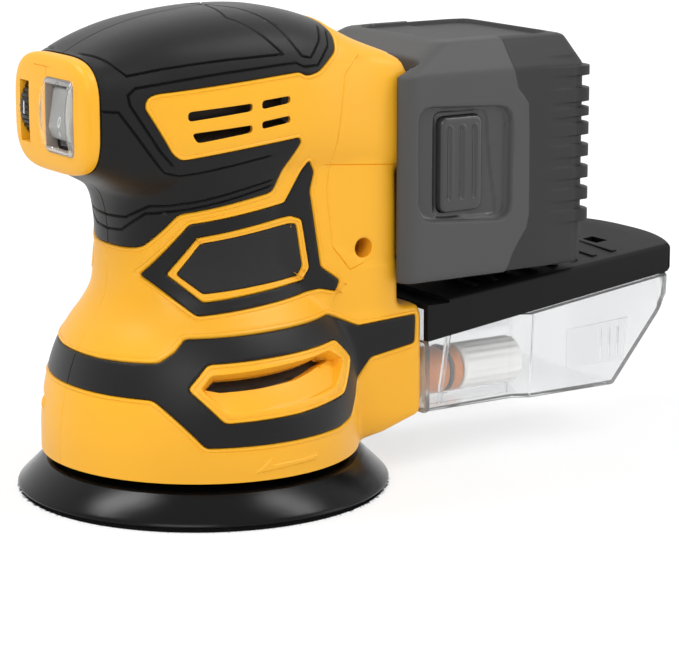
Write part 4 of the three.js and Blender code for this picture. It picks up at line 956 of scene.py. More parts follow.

# %% [markdown]
# The skin is dealt out. Each rubber inlay and plate takes the faces inside its own line, each pocket's slot
# takes its own as a black sheet that paints the shade under the pocket's upper edge, and each shell takes
# its whole side apart from the slot, the vents and the screw wells. Then every sheet gets the thickness of
# its wall.

# %% Shells, rubber and plates
centres = face_middles(skin)
face_inlays = inlay_distance(centres[:, SIDE])
face_gap, face_which = face_inlays.min(axis=0), face_inlays.argmin(axis=0)
face_flank = np.sign(centres[:, 1]) * np.array([abs(face.normal.y) > 0.3 for face in skin.faces])
hole = np.zeros(len(centres), bool)
# The slot's faces go to a black sheet: painted shade for the dark under the pocket's upper edge.
deep = (outline_distance(centres[:, SIDE], slot_outline) < -0.3) & (face_flank != 0)
for outline in vent_outlines:
    hole |= (outline_distance(centres[:, SIDE], outline) < 0) & (face_flank != 0)
well = np.zeros(len(centres), bool)
for place, side in zip(screw_places, screw_sides):
    well |= (outline_distance(centres[:, SIDE], circle(place, WELL_RADIUS)) < 0) & (centres[:, 1] * side > 0)


inlay_names = [*[(name, rubber, RUBBER_WALL, "rubber") for name in ("grip", "band", "frame")],
               ("plate", plate_finish, PLATE_WALL, "side_plate")]
for side_name, side in (("left", -1), ("right", 1)):
    ours = centres[:, 1] * side > 0
    dealt(f"{side_name}_shell_skin", skin, ours & ~hole & ~well & ~deep, shell_relief, normals, yellow,
          "housing", [f"{side_name}_shell"], "yellow_housing", SHELL_WALL)
    # Black slot floor: painted shade under the pocket's upper edge; the deeper recess itself is real.
    dealt(f"{side_name}_pocket_slot_shade", skin, ours & deep, shell_relief, normals, black, "housing", [], None,
          PLATE_WALL)
    for number, (part_name, look, thickness, slot) in enumerate(inlay_names):
        inside = ours & (face_which == number) & (face_gap < -0.15) & ~well
        dealt(f"{side_name}_{part_name}_skin", skin, inside, inlay_relief, normals, look, "housing",
              [f"{side_name}_{part_name}"], slot, thickness)

# %% [markdown]
# Behind each set of vents lies an inner wall. It follows the skin at a distance and is deepest in the
# middle, so no light shows through the slots. Its black is painted shade for the dark hollow of the housing.

# %% Walls behind the vents
vent_block = on_head([(0.215, 0.57), (0.59, 0.61), (0.59, 0.4), (0.235, 0.35)])
block_gap = np.where(flank != 0, outline_distance(side_view, vent_block), FAR)
backing = -np.interp(block_gap, [-3, 0.5], [5.5, 2.5])
face_block = outline_distance(centres[:, SIDE], vent_block)
for side_name, side in (("left", -1), ("right", 1)):
    wanted = (centres[:, 1] * side > 0) & (face_flank != 0) & (face_block < 0)
    # The wall's black is painted shade for the housing's hollow inside, seen through the vents.
    dealt(f"{side_name}_vent_shade_wall", skin, wanted, backing, normals, black, "housing", [], None, PLATE_WALL)

# %% [markdown]
# ## The post's rails
# The battery hangs on two T shaped rails on the rear of the post. They are moulded with the shells on the
# real tool; here they are drawn as bars with a lip, with the sharp corners broken.

# %% Rails
RAIL_LOW, RAIL_HIGH, RAIL_REAR, RAIL_INNER = 74, 128, 71.4, 16
for side_name, side in (("left", -1), ("right", 1)):
    bm = bmesh.new()
    boxed(bm, (60, RAIL_INNER, RAIL_LOW), (RAIL_REAR, 19, RAIL_HIGH))
    lip = bmesh.new()
    boxed(lip, (68.8, RAIL_INNER, RAIL_LOW), (RAIL_REAR, 25, RAIL_HIGH))
    bm = reworked(bm, joins=[lip])
    bmesh.ops.remove_doubles(bm, verts=bm.verts, dist=0.001)
    bevel_edges(bm, sharper_than(0.7), 0.35, 2)
    to_side(bm, side)
    make(f"{side_name}_rail", bm, yellow, "housing", slot="yellow_housing")

# %% [markdown]
# ## Battery
# The battery is two moulded cases: a lighter front case that wraps round the post, and a darker rear case
# with grip ribs that run round its corners. It starts as a box whose top is drawn in above the shoulders;
# the corners are bevelled, the rail slots are carved, and the whole is melted into one even skin for
# scoring.

# %% Battery form
BOX_LOW, BOX_HIGH, TOP_HEIGHT = Vector((56, -38, 67.4)), Vector((134, 38, 137)), 147
TOP_MIDDLE, TOP_LENGTH, TOP_WIDTH = 103.5, 0.68, 0.79
bm = bmesh.new()
boxed(bm, BOX_LOW, BOX_HIGH)
bevel_edges(bm, runs_along("z", 5), 6.5, 6)
top = max(bm.faces, key=lambda face: face.calc_center_median().z)
raised_top = bmesh.ops.extrude_face_region(bm, geom=[top])["geom"]
bmesh.ops.delete(bm, geom=[top], context="FACES_ONLY")
for vert in raised_top:
    if isinstance(vert, bmesh.types.BMVert):
        from_middle = vert.co.x - (BOX_LOW.x + BOX_HIGH.x) / 2
        vert.co = (TOP_MIDDLE + from_middle * TOP_LENGTH, vert.co.y * TOP_WIDTH, TOP_HEIGHT)
bevel_edges(bm, lambda edge: min(vert.co.z for vert in edge.verts) > TOP_HEIGHT - 1, 1.6, 3)
bevel_edges(bm, lambda edge: max(vert.co.z for vert in edge.verts) < BOX_LOW.z + 0.6, 1.6, 3)
notch = bmesh.new()
boxed(notch, (50, -33.1, 60), (66.5, 33.1, 150))
rail_slots = bmesh.new()
for side in (-1, 1):
    for front, inner, outer in ((66, 15.7, 19.3), (68.5, 19, 25.3)):
        low, high = sorted((inner * side, outer * side))
        boxed(rail_slots, (front, low, 60), (71.7, high, 128.3))
boxed(rail_slots, (66, -11.3, 60), (70, 11.3, 105.6))
battery = reworked(bm, cutters=[notch, rail_slots], voxel=0.85, smoothing=3)
print("battery skin:", len(battery.faces), "faces")

# %% [markdown]
# The line where the two cases meet runs down in a wave. Each side has a deep rounded recess with an opening
# for the release button to sink into, and the top has a shallow inset with a raised rim.

# %% Lines on the battery
split_line = [(101.6, 152), (101.4, 137.7), (103.2, 130.4), (105.5, 127.9), (107.7, 125), (108.2, 114.5),
              (108.4, 86.8), (107.4, 82.3), (103.6, 77.1), (101.4, 73.6), (98.1, 66)]
recess_outline = softened([(62.2, 127.2), (101.4, 124.9), (101, 85.4), (62.6, 88.2)], 6)
ledge_outline = softened([(70, 124.6), (91.9, 124), (93.4, 105), (96.6, 88), (70, 88.8)], 3)
button_gap = softened([(71.6, 90.1), (89.4, 90.1), (89.4, 122.9), (71.6, 122.9)], 2.8)
top_outline = softened([(78.5, -26), (126, -26), (126, 26), (78.5, 26)], 7)
teeth = [(82.5, 86.3), (90, 93.8), (97.5, 101.3), (105, 108.8), (112.5, 116.3), (119, 121.6), (124, 128.4),
         (133, 136)]


def battery_side(face):
    return abs(face.normal.y) > 0.5 and abs(face.calc_center_median().y) > 34


sheet = Sheet(battery)
sheet.outline(split_line, (-0.25, 0, 0.25), closed=False,
              allowed=lambda face: face.calc_center_median().x > 80)
sheet.outline(recess_outline, (-1.4, -0.7, -0.1, 0.3), allowed=battery_side)
sheet.outline(ledge_outline, (-0.4, 0.2), allowed=battery_side)
sheet.outline(button_gap, (0,), allowed=battery_side)
sheet.outline(top_outline, (-0.6, 0, 0.5), view=TOP, allowed=lambda face: face.normal.z > 0.8)
for low, high in teeth:
    for z in (low - 0.5, low, high, high + 0.5):
        sheet.outline([(112, z), (140, z)], (0,), closed=False,
                      allowed=lambda face: face.calc_center_median().x > 113)
settle(battery)
print("scored battery:", len(battery.faces), "faces")

# %% Relief of the battery
points = np.array([vert.co[:] for vert in battery.verts])
directions = np.array([vert.normal[:] for vert in battery.verts])
side_view = points[:, SIDE]
on_side = (np.abs(directions[:, 1]) > 0.5) & (np.abs(points[:, 1]) > 34)
split_z = np.array([z for _, z in split_line])[::-1]
split_x = np.array([x for x, _ in split_line])[::-1]
past_split = points[:, 0] - np.interp(points[:, 2], split_z, split_x)
recess = np.where(on_side, outline_distance(side_view, recess_outline), FAR)
ledge = np.where(on_side, outline_distance(side_view, ledge_outline), FAR)
on_top = (directions[:, 2] > 0.8) & (points[:, 2] > 140)
inset = np.where(on_top, outline_distance(points[:, TOP], top_outline), FAR)
tooth = np.max([
    np.interp(points[:, 2], [low - 0.5, low, high, high + 0.5], [0, 1, 1, 0]) for low, high in teeth
], axis=0)
round_rear = np.clip((directions[:, 0] - 0.2) / 0.4, 0, 1) * (points[:, 0] > 110)
fade = np.clip((points[:, 0] - 116) / 16, 0, 1) * (1 - round_rear) * (np.abs(directions[:, 1]) > 0.3)
relief = -0.35 * np.clip(past_split / 0.25, 0, 1) - 0.25 * np.clip(1 - np.abs(past_split) / 0.25, 0, 1)
relief += 2.5 * tooth * round_rear - 0.8 * (1 - tooth) * fade * (points[:, 2] < 140)
relief -= np.interp(recess, [-1.4, -0.7, -0.1, 0.3], [2.6, 2.2, 0.3, 0])
relief -= 0.5 * np.interp(ledge, [-0.4, 0.2], [1, 0])
relief -= 1.1 * np.interp(inset, [-0.6, 0], [1, 0])
relief += 0.3 * np.interp(inset, [0, 0.5, 2.4], [0, 1, 0]) * (inset > 0)

# %% Battery cases and top panel
centres = face_middles(battery)
rear = centres[:, 0] > np.interp(centres[:, 2], split_z, split_x)
up = np.array([face.normal.z > 0.8 for face in battery.faces]) & (centres[:, 2] > 140)
panel = up & (outline_distance(centres[:, TOP], top_outline) < -0.3)
dark_recess = np.array([abs(face.normal.y) > 0.5 for face in battery.faces]) & (np.abs(centres[:, 1]) > 34)
dark_recess &= outline_distance(centres[:, SIDE], recess_outline) < -0.7
button_hole = outline_distance(centres[:, SIDE], button_gap) < 0
dealt("battery_front_skin", battery, ~rear & ~panel & ~dark_recess, relief, directions, grey, "battery",
      ["battery_front_case"], "grey_plastic", 1.8)
dealt("battery_rear_skin", battery, rear & ~panel, relief, directions, dark_grey, "battery",
      ["battery_rear_case"], "dark_grey_plastic", 1.8)
dealt("battery_top_panel", battery, panel, relief, directions, dark_grey, "battery", [], None, 0.8)
dealt("battery_recess_floors", battery, dark_recess & ~button_hole, relief, directions, button_grey,
      "battery", [], None, 1.2)

# %% [markdown]
# A release button stands in each recess: a pad with round corners and three upright ribs to push on.

# %% Release buttons
bm = bmesh.new()
boxed(bm, (71.9, -37.4, 90.4), (89.1, -31.5, 122.6))
bevel_edges(bm, runs_along("y", 3), 2.6, 5)
bevel_edges(bm, lambda edge: edge.calc_face_angle(0) > 0.7 and edge.verts[0].co.y < -37, 1.1, 3)
pad_form = reworked(bm, voxel=0.42, smoothing=3)
RIDGE_RADIUS, RIDGE_LOW, RIDGE_HIGH = 1.15, 95.4, 118.6
ridges = []
for x in (75.4, 80.5, 85.6):
    ends = []
    for side, z in ((1, RIDGE_HIGH), (-1, RIDGE_LOW)):
        for turn in np.linspace(0, math.pi, 8):
            reach = RIDGE_RADIUS * side
            ends.append((x + reach * math.cos(turn), z + reach * math.sin(turn)))
    ridges.append(ends)
sheet = Sheet(pad_form)
for outline in ridges:
    sheet.outline(outline, (-0.6, 0, 0.35), allowed=lambda face: face.normal.y < -0.7)
settle(pad_form)
points = np.array([vert.co[:] for vert in pad_form.verts])
front = points[:, 1] < -36.8
ridge = np.min([
    np.where(front, outline_distance(points[:, SIDE], outline), FAR) for outline in ridges
], axis=0)
height = np.interp(ridge, [-1.1, -0.6, 0, 0.35], [-0.55, -0.35, 0.1, 0])
for vert, lift in zip(pad_form.verts, height):
    vert.co.y -= lift
mirror = pad_form.copy()
bmesh.ops.scale(mirror, vec=(1, -1, 1), verts=mirror.verts)
bmesh.ops.reverse_faces(mirror, faces=mirror.faces)
make("button_left_pad", pad_form, button_grey, "button_left", ["battery_button_left"], "dark_grey_plastic")
make("button_right_pad", mirror, button_grey, "button_right", ["battery_button_right"], "dark_grey_plastic")

# %% [markdown]
# ## Dust port
# The fan blows the dust out through a tube with a rubber ring near its end, which seals in the dust box,
# and a cloth sleeve behind it lets the air through. Each is a profile turned round the port's axis.

# %% Port, ring and sleeve
PORT = (0, -16, 31.3)
bm = bmesh.new()
turned(bm, [(6.6, 41), (8, 41), (8, 85.3), (7.6, 85.5), (7.6, 87.5), (8, 87.7), (8, 90.9), (7.7, 91.4),
            (7.2, 91.5), (6.8, 91.2), (6.6, 90.7)], 96, "x", PORT, closed=True)
# The tube's deeper orange is painted shade: the same yellow as the housing, darkened as it sits inside the
# box.
make("dust_port_tube", bm, port_yellow_in_shade, "housing", ["dust_port"], "yellow_housing")
bm = bmesh.new()
bead = [(7.95 + 0.75 * math.cos(turn), 86.5 + 0.75 * math.sin(turn))
        for turn in np.linspace(0, 2 * math.pi, 12, endpoint=False)]
turned(bm, bead, 96, "x", PORT, closed=True)
make("port_o_ring", bm, black, "housing", ["port_ring"], "rubber")
bm = bmesh.new()
turned(bm, [(7.0, 92.2), (7.9, 92.2), (8.25, 92.6), (8.3, 93.6), (8.1, 94.6), (8.1, 115.8), (7.6, 117),
            (6.6, 117.5), (3, 117.5), (0, 117.5)], 108, "x", PORT)
for vert in bm.verts:
    across, up = vert.co.y - PORT[1], vert.co.z - PORT[2]
    fold = 1 + 0.028 * math.cos(18 * math.atan2(up, across)) * (94.5 < vert.co.x < 117)
    vert.co.y, vert.co.z = PORT[1] + across * fold, PORT[2] + up * fold
make("filter_sleeve_cloth", bm, filter_cloth, "dust_box", ["filter_sleeve"], "filter_cloth", wall=0.9)

# %% [markdown]
# ## Dust box
# The dust box is one clear moulding, open at the top, with a flange that seats against the block. Its front
# half is narrower and stands on a ledge, and its floor slopes up to the bowed rear wall.

# %% Plans and slopes of the dust box
RIM = 0.0963
BOX_FRONT, BOX_FLOOR, FLANGE_FRONT, ABOVE_ALL = 71.2, 20.8, 69.3, 80
WIDE_FROM, WIDE_HALF, NARROW_HALF = 113.3, 34, 31
SLOPE = (0.768, 0, -0.64)


def rim_height(x):
    return 59.2 + (x - FLANGE_FRONT) * RIM


def bowed(half_width, front, rear, bow=8, count=36):
    across = np.sin(np.linspace(-math.pi / 2, math.pi / 2, count))
    arc = [(rear - bow * abs(share) ** 2.6, share * half_width) for share in across]
    return [(front, -half_width), *arc, (front, half_width)]


def cut_away(bm, place, outwards):
    whole = [*bm.verts, *bm.edges, *bm.faces]
    bmesh.ops.bisect_plane(bm, geom=whole, dist=0.001, plane_co=place, plane_no=outwards, clear_outer=True)
    bmesh.ops.holes_fill(bm, edges=[edge for edge in bm.edges if edge.is_boundary], sides=0)
    bmesh.ops.recalc_face_normals(bm, faces=bm.faces)


# %% Clear box


def port_socket():
    """The round hole in the box's front that takes the port's ring."""
    socket = bmesh.new()
    rod(socket, "x", 8.7, (60, 75.5), PORT, 64)
    return socket


wide = [(BOX_FRONT, -NARROW_HALF), (107, -NARROW_HALF), (WIDE_FROM, -WIDE_HALF),
        *bowed(WIDE_HALF, WIDE_FROM, 180.4)[1:-1],
        (WIDE_FROM, WIDE_HALF), (107, NARROW_HALF), (BOX_FRONT, NARROW_HALF)]
bm = bmesh.new()
slab(bm, wide, BOX_FLOOR, ABOVE_ALL)
cut_away(bm, (149.3, 0, BOX_FLOOR), SLOPE)
bevel_edges(bm, lambda edge: 0.4 < edge.calc_face_angle(0) < 1.2
            and all(35 < vert.co.z < 60 for vert in edge.verts)
            and abs(edge.verts[0].co.z - edge.verts[1].co.z) < 3, 4, 4)
cut_away(bm, (BOX_FRONT, 0, rim_height(BOX_FRONT) - 13.3), (-0.125, 0, 0.992))
bevel_edges(bm, lambda edge: edge.calc_face_angle(0) > 0.5
            and max(vert.co.z for vert in edge.verts) < 44
            and max(vert.co.x for vert in edge.verts) > 72, 1.0, 3)
neck = bmesh.new()
slab(neck, bowed(NARROW_HALF, BOX_FRONT, 178.6), 40, ABOVE_ALL)
cut_away(neck, (BOX_FRONT, 0, rim_height(BOX_FRONT) - 2.6), (-RIM, 0, 1))
cut_away(neck, (147.3, 0, BOX_FLOOR), SLOPE)
box_body = reworked(bm, joins=[neck], cutters=[port_socket()])
lost = []
for face in box_body.faces:
    middle = face.calc_center_median()
    under_lid = face.normal.z > 0.97 and middle.z > 54 and abs(middle.z - rim_height(middle.x)) < 3.2
    if under_lid or (abs(face.normal.x) > 0.9 and 75 < middle.x < 76):
        lost.append(face)
bmesh.ops.delete(box_body, geom=lost, context="FACES")
print("clear box:", len(box_body.faces), "faces, opened", len(lost))

# %% A finish for the clear plastic


def clear_plastic(name, tint, roughness, milk):
    made, shader = coated(
        name,
        {"Colour": (*tint, 1), "Shade": (*[0.97 * part for part in tint], 1)},
        {"Scale": 900, "Depth": 0.000004, "Roughness": roughness, "Spread": 0.03},
    )
    shader.inputs["Transmission Weight"].default_value = milk
    shader.inputs["IOR"].default_value = 1.4
    tree = made.node_tree
    shadow = add_node(tree, "ShaderNodeLightPath").outputs["Is Shadow Ray"]
    through = add_node(tree, "ShaderNodeBsdfTransparent", {"Color": (0.93, 0.93, 0.93, 1)})
    mix = add_node(tree, "ShaderNodeMixShader", {"Fac": shadow, 1: shader.outputs[0], 2: through.outputs[0]})
    tree.links.new(mix.outputs[0], tree.nodes["Material Output"].inputs["Surface"])
    return made


clear = clear_plastic("clear plastic", (0.95, 0.955, 0.96), 0.08, 0.92)
make("dust_box_clear", box_body, clear, "dust_box", ["dust_bin"], "clear_bin", smooth=40, wall=1.6, flat=12)

# %% Flange, ledge and ribs of the dust box
bm = bmesh.new()
boxed(bm, (FLANGE_FRONT, -33, BOX_FLOOR), (71.1, 33, 45.6))
bevel_edges(bm, runs_along("x", 1), 2, 4)
bm = reworked(bm, cutters=[port_socket()])
bevel_edges(bm, sharper_than(0.9), 0.25, 2)
make("dust_box_flange", bm, clear, "dust_box", slot="clear_bin", flat=12)
bm = bmesh.new()
for side in (-1, 1):
    low, high = sorted((27.4 * side, 29.3 * side))
    boxed(bm, (73, low, 23), (106.5, high, 26.6))
    low, high = sorted((28.2 * side, 29.4 * side))
    rib = boxed(bm, (76.6, low, 22.5), (78.2, high, 48))
    for vert in rib:
        vert.co.x += (vert.co.z - 22.5) * 0.16
    low, high = sorted((33.9 * side, 34.3 * side))
    edge = boxed(bm, (112.3, low, 21.8), (112.9, high, 50.6))
    for vert in edge:
        vert.co.x += (vert.co.z - 21.7) * 0.04
bevel_edges(bm, lambda edge: True, 0.12, 2)
make("dust_box_ribs", bm, clear, "dust_box", slot="clear_bin", flat=2)

# %% [markdown]
# On each side a raised grip panel with short ribs gives the fingers a hold to pull the box off.

# %% Grip panels of the dust box
for side_name, side in (("left", -1), ("right", 1)):
    bm = bmesh.new()
    panel = boxed(bm, (128.6, -34.5, 29.5), (155.4, -33.8, 43.2))
    for vert in panel:
        if vert.co.z > 40:
            vert.co.z += (vert.co.x - 128.6) * 0.06
        elif vert.co.x > 150:
            vert.co.x -= 1.7
        if vert.co.x < 130 or vert.co.z < 40:
            vert.co.y = max(vert.co.y, -33.95)
    grooves_cut = bmesh.new()
    for x in (143.2, 146.9, 150.6):
        groove_bar = boxed(grooves_cut, (x, -35, 31), (x + 0.8, -34, 42))
        for vert in groove_bar:
            if vert.co.z < 35:
                vert.co.y += 0.35
    bm = reworked(bm, cutters=[grooves_cut])
    to_side(bm, -side)
    make(f"{side_name}_box_grip", bm, clear, "dust_box", slot="clear_bin", flat=2)

# %% [markdown]
# The lid is a black cap whose skirt slides over the top of the clear box. Its top has soft cross ribs,
# three slots and a lower strip at the front, and its edges are rounded.

# %% Lid
bm = bmesh.new()
slab(bm, bowed(WIDE_HALF, FLANGE_FRONT, 182.3, count=40), 40, ABOVE_ALL)
cut_away(bm, (FLANGE_FRONT, 0, 59.2), (-RIM, 0, 1))
cut_away(bm, (FLANGE_FRONT, 0, 46.2), (0.1265, 0, -1))
bevel_edges(bm, lambda edge: edge.calc_face_angle(0) > 0.9
            and min(vert.co.z for vert in edge.verts) > 58, 1.5, 4)
hollow = bmesh.new()
slab(hollow, bowed(31.6, 60, 180.2, count=40), 30, ABOVE_ALL)
cut_away(hollow, (FLANGE_FRONT, 0, 57), (-RIM, 0, 1))
slots = bmesh.new()
for x, y, length in [(96.4, -14.6, 18), (96.4, 14.6, 18), (158, -8, 9)]:
    boxed(slots, (x, y - length / 2, rim_height(x) - 1.7), (x + 5, y + length / 2, 90))
strip = bmesh.new()
boxed(strip, (60, -40, 0), (78.4, 40, 40))
bmesh.ops.translate(strip, vec=(0, 0, 58.7), verts=strip.verts)
lid = reworked(bm, cutters=[hollow, slots, strip])
make("dust_lid_cap", lid, lid_black, "lid", ["dust_lid"], "black_plastic", smooth=30)
bm = bmesh.new()
for at in range(9):
    x = 96 + at * 8.6
    if abs(x - 169) > 9:
        boxed(bm, (x, -27, rim_height(x) - 0.2), (x + 2.6, 27, rim_height(x) + 0.28))
        for vert in bm.verts[-8:]:
            vert.co.x += vert.co.y * 0.12
bevel_edges(bm, lambda edge: True, 0.2, 2)
make("dust_lid_ribs", bm, lid_black, "lid", slot="black_plastic")

# %% [markdown]
# ## Sanding pad
# The pad is a rubber cone with a thin lip, pierced by eight dust holes and four screw wells. Under it lies
# a layer of hook cloth, whose hooks stand out as a rough fringe all round the rim.

# %% Pad and hook layer
PAD = (1.2, 0, 0)


def around_pad(count, radius):
    turns = [(at + 0.5) * 2 * math.pi / count for at in range(count)]
    return [(PAD[0] + radius * math.cos(turn), radius * math.sin(turn), 0) for turn in turns]


def pad_holes(wells_from):
    holes = bmesh.new()
    for place in around_pad(8, 32.5):
        rod(holes, "z", 5, (-1, 14), place, 40)
    for place in around_pad(4, 12):
        rod(holes, "z", 4.3, (-1, wells_from), place, 32)
        rod(holes, "z", 2.3, (-1, 14), place, 32)
    return holes


bm = bmesh.new()
turned(bm, [(0, 11.3), (52.4, 11.3), (53.6, 11), (54.6, 10.4), (61.8, 3.3), (62.3, 2.7), (62.5, 2.3),
            (62.4, 1.9), (61.9, 1.6), (0, 1.6)], 180, "z", PAD)
make("pad_cone", reworked(bm, cutters=[pad_holes(6.8)]), pad_black, "pad", ["backing_pad"], "pad",
     smooth=30)
bm = bmesh.new()
turned(bm, [(0, 1.6), (61.5, 1.6), (61.5, 0.2), (61.3, 0), (0, 0)], 180, "z", PAD)
make("hook_disc", reworked(bm, cutters=[pad_holes(3)]), hook_cloth, "pad", ["hook_layer"], "hook_cloth",
     smooth=30)
HOOK_COUNT, HOOK_RADIUS = 1300, 61.3
rng = np.random.default_rng(4)
bm = bmesh.new()
for turn in np.linspace(0, 2 * math.pi, HOOK_COUNT, endpoint=False):
    turn += rng.uniform(-0.002, 0.002)
    lean, height, length = rng.uniform(-0.5, 0.5), rng.uniform(0.2, 1.3), rng.uniform(0.8, 1.7)
    outwards = Vector((math.cos(turn), math.sin(turn), -0.25 * rng.random())).normalized()
    radius = HOOK_RADIUS + length / 2
    place = Vector(PAD) + Vector((radius * math.cos(turn), radius * math.sin(turn), height))
    pose = Matrix.Translation(place) @ outwards.to_track_quat("Z", "Y").to_matrix().to_4x4()
    bmesh.ops.create_cone(bm, segments=3, radius1=0.17, radius2=0.03, depth=length,
                          matrix=pose @ Matrix.Rotation(lean, 4, "X"))
make("hook_fringe", bm, hook_cloth, "pad", slot="hook_cloth")

# %% [markdown]
# ## Screws
# Every screw has a turned head with a rounded edge, a six lobed recess and a shank. The housing's screws
# lie deep in wells, so each gets a tube that runs in from the skin and ends just under it all round.

# %% Screws and wells


def screw(profile, axis, centre, recess_from):
    bm = bmesh.new()
    turned(bm, profile, 32, axis, centre)
    lobes = []
    for turn in np.linspace(0, 2 * math.pi, 24, endpoint=False):
        radius = 1.25 + 0.3 * math.cos(6 * turn)
        lobes.append((radius * math.cos(turn), radius * math.sin(turn)))
    star = bmesh.new()
    slab(star, lobes, *recess_from)
    bmesh.ops.transform(star, matrix=Matrix.Translation(centre) @ LAID[axis], verts=star.verts)
    return reworked(bm, cutters=[star])


TUBE_RADIUS, TUBE_OUTSIDE, TUBE_UNDER_SKIN = 3.35, 4.3, 1.3
for number, ((x, z), side) in enumerate(zip(screw_places, screw_sides), 1):
    profile = [(0, 22.4), (2.4, 22.4), (2.9, 22.1), (3.1, 21.6), (3.1, 20.2), (2.9, 20), (1.6, 20),
               (1.6, -13.4), (1.1, -14), (0, -14)]
    bm = screw(profile, "y", (x, 0, z), (21.1, 24))
    if side < 0:
        bmesh.ops.scale(bm, vec=(1, -1, 1), verts=bm.verts)
        bmesh.ops.reverse_faces(bm, faces=bm.faces)
    make(f"screw_{number}", bm, dark_steel, "housing", [f"housing_screw_{number}"], "dark_steel")
    bm = bmesh.new()
    turned(bm, [(TUBE_RADIUS, 19.6), (TUBE_OUTSIDE, 19.6), (TUBE_OUTSIDE, 30), (TUBE_RADIUS, 30)], 40, "y",
           (x, 0, z), closed=True)
    for vert in bm.verts:
        if vert.co.y > 25:
            hit = skin_tree.ray_cast(Vector((vert.co.x, 80 * side, vert.co.z)), Vector((0, -side, 0)))[0]
            vert.co.y = abs(hit.y) - TUBE_UNDER_SKIN
    to_side(bm, side)
    make(f"screw_well_{number}", bm, yellow, "housing", slot="yellow_housing")
for number, place in enumerate(around_pad(4, 12), 1):
    profile = [(0, 4.1), (3.4, 4.1), (3.9, 4.5), (4, 5), (4, 6.5), (2, 6.5), (2, 13.4), (1.6, 13.9),
               (0, 13.9)]
    make(f"pad_bolt_{number}", screw(profile, "z", place, (2, 5.4)), steel, "pad", [f"pad_screw_{number}"],
         "steel")

# %% [markdown]
# ## Nose
# The front panel is a rounded plate that bulges a little. A window for the switch and a slot for the speed
# wheel are cut in it, and two thin lines are scored above the window.

# %% Front panel
NOSE_Z = 129.486


def panel_section(x, share_across, share_up):
    def section(angle):
        across, up = rounded(25.56 * share_across, 18.9 * share_up, 3.6, angle)
        return (x, across, NOSE_Z + up)
    return section


bm = bmesh.new()
rows = [(-49.3, 0.985, 0.98), (-49.7, 1, 1), (-52.3, 1, 1), (-53.2, 0.985, 0.98), (-53.9, 0.95, 0.935),
        (-54.4, 0.88, 0.85), (-54.9, 0.68, 0.65), (-55.25, 0.4, 0.38), (-55.4, 0.12, 0.12)]
loft(bm, [panel_section(*row) for row in rows], 128)
panel_form = reworked(bm, voxel=0.5, smoothing=2)
window = bmesh.new()
boxed(window, (-60, -17.6, 117.4), (-45, 1, 141.6))
bevel_edges(window, runs_along("x", 5), 2.2, 4)
wheel_slot = bmesh.new()
boxed(wheel_slot, (-60, 12.2, 118.7), (-45, 19.3, 138.7))
lines = bmesh.new()
boxed(lines, (-56, -1, 144.3), (-54.3, 9, 144.7))
boxed(lines, (-56, 0.6, 141.4), (-54.4, 0.9, 144.7))
panel_form = reworked(panel_form, cutters=[window, wheel_slot, lines])
make("nose_panel", panel_form, yellow, "housing", ["front_panel"], "yellow_housing")

# %% [markdown]
# The switch sits behind a clear cover that is curved like a lens, so that a finger can press the rocker
# through it. It is open at the back and has the thickness of a thin moulding.

# %% Switch cover


def across_y(bm, outline, low, high):
    """An outline drawn from the side and drawn across the tool."""
    slab(bm, outline, low, high)
    for vert in bm.verts:
        vert.co = (vert.co.x, vert.co.z, vert.co.y)
    bmesh.ops.recalc_face_normals(bm, faces=bm.faces)


bm = bmesh.new()
arc = [(-52.9 - 4.1 * math.cos(turn) ** 0.8, 129.5 + 11.7 * math.sin(turn))
       for turn in np.linspace(-math.pi / 2, math.pi / 2, 30)]
across_y(bm, [*arc, (-50.9, 141.2), (-50.9, 117.8)], -17.2, 0.6)
bevel_edges(bm, lambda edge: edge.calc_face_angle(0) > 1
            and max(vert.co.x for vert in edge.verts) < -51.5, 0.9, 4)
bmesh.ops.delete(bm, geom=[face for face in bm.faces if face.normal.x > 0.9], context="FACES")
lens = clear_plastic("clear cover", (0.97, 0.965, 0.955), 0.03, 0.9)
make("switch_lens", bm, lens, "housing", ["switch_cover"], "clear_cover", smooth=30, wall=0.9, flat=30)
for node_name, look in (("switch_cover", lens), ("dust_bin", clear)):
    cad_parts[node_name].data.materials.clear()
    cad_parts[node_name].data.materials.append(look)

# %% [markdown]
# A pale gasket lines the panel's window round the cover, and a dark frame behind it holds the switch. Both
# are boxes with rounded corners and a smaller box cut out of them.

# %% Gasket round the cover


def window_box(low, high, corner):
    bm = bmesh.new()
    boxed(bm, low, high)
    bevel_edges(bm, runs_along("x", 2), corner, 4)
    return bm


gasket_grey = finish("gasket grey", (150, 138, 126), roughness=0.6, Specular_IOR_Level=0.3)
frame_grey = finish("switch frame grey", (84, 84, 84), roughness=0.5, Specular_IOR_Level=0.3)
bm = reworked(window_box((-55.1, -17.55, 117.45), (-49.2, 0.95, 141.55), 2.2),
              cutters=[window_box((-58, -17.25, 117.75), (-45, 0.65, 141.25), 2.0)])
make("switch_gasket", bm, gasket_grey, "housing")
bm = reworked(window_box((-50.7, -17.5, 117.5), (-44, 0.9, 141.5), 2.2),
              cutters=[window_box((-58, -15.7, 119.3), (-40, -0.9, 139.7), 0.8)])
bevel_edges(bm, sharper_than(0.9), 0.2, 2)
make("switch_frame", bm, frame_grey, "housing")

# %% [markdown]
# The rocker is drawn from the side, bulging towards the cover, and its two marks are laid on its faces.

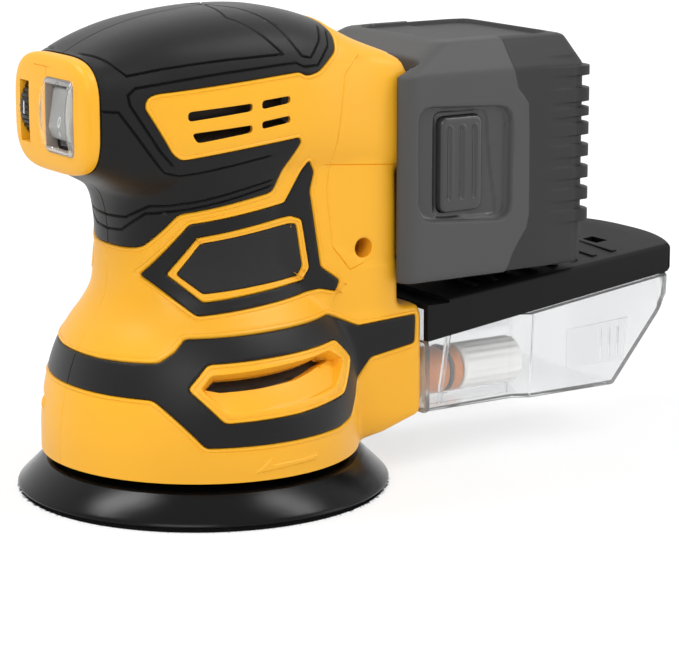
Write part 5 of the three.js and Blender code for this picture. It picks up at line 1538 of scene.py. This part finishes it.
# %% Rocker
rocker_grey = finish("rocker grey", (150, 152, 150), roughness=0.35)
mark_white = finish("mark white", (232, 232, 228), roughness=0.5)
bm = bmesh.new()
across_y(bm, [(-40.2, 121.8), (-53.9, 121.9), (-54.3, 122.4), (-55.3, 125.6), (-53.2, 137.8),
              (-52.6, 138.4), (-40.2, 138.4)], -15.3, -1.3)
bevel_edges(bm, sharper_than(0.3), 0.35, 2)
make("rocker_cap", bm, rocker_grey, "switch", ["switch_rocker"], "black_plastic")
bm = bmesh.new()
turned(bm, [(1.1, -0.12), (1.5, -0.12), (1.5, 0.12), (1.1, 0.12)], 40, "x", closed=True)
bmesh.ops.scale(bm, vec=(1, 0.55, 1.15), verts=bm.verts)
stroke = boxed(bm, (-0.12, -0.22, -0.8), (0.12, 0.22, 0.8))
ring = [vert for vert in bm.verts if vert not in stroke]
for mark, place, lean in ((ring, (-54.93, -8.3, 127.8), 0.17), (stroke, (-54.82, -8.3, 124), -0.303)):
    pose = Matrix.Translation(place) @ Matrix.Rotation(lean, 4, "Y")
    bmesh.ops.transform(bm, matrix=pose, verts=mark)
make("rocker_marks", bm, mark_white, "switch")

# %% [markdown]
# The speed wheel is knurled all round and carries the numbers one to six in white.

# %% Speed wheel
DIAL = Vector((-41.8, 0, 129.5))
bm = bmesh.new()
knurl = []
for at in range(48):
    for share, radius in ((0, 13.0), (0.2, 13.0), (0.32, 13.45), (0.88, 13.45)):
        turn = (at + share) * 2 * math.pi / 48
        knurl.append((DIAL.x + radius * math.cos(turn), DIAL.z + radius * math.sin(turn)))
across_y(bm, knurl, 12.7, 18.8)
bevel_edges(bm, lambda edge: abs(edge.verts[0].co.y - edge.verts[1].co.y) < 0.1, 0.3, 2)
make("speed_wheel", bm, black, "dial", ["speed_dial"], "black_plastic", smooth=30)
numbers = bmesh.new()
for number in range(1, 7):
    text = bpy.data.curves.new("number", "FONT")
    text.body, text.size, text.extrude = str(number), 6, 0.08
    text.align_x, text.align_y = "CENTER", "CENTER"
    holder = bpy.data.objects.new("number", text)
    flat = bpy.data.meshes.new_from_object(holder)
    first = len(numbers.verts)
    numbers.from_mesh(flat)
    bpy.data.objects.remove(holder)
    numbers.verts.ensure_lookup_table()
    turn = Matrix.Rotation(math.radians(48 * (1 - number)), 4, "Y")
    face_out = Matrix.Rotation(math.pi / 2, 4, "X") @ Matrix.Rotation(-math.pi / 2, 4, "Y")
    on_rim = Matrix.Translation((-13.4, 0, 0)) @ face_out
    stand = Matrix.Translation(DIAL + Vector((0, 15.75, 0))) @ turn @ on_rim
    bmesh.ops.transform(numbers, matrix=stand, verts=numbers.verts[first:])
make("wheel_numbers", numbers, mark_white, "dial")
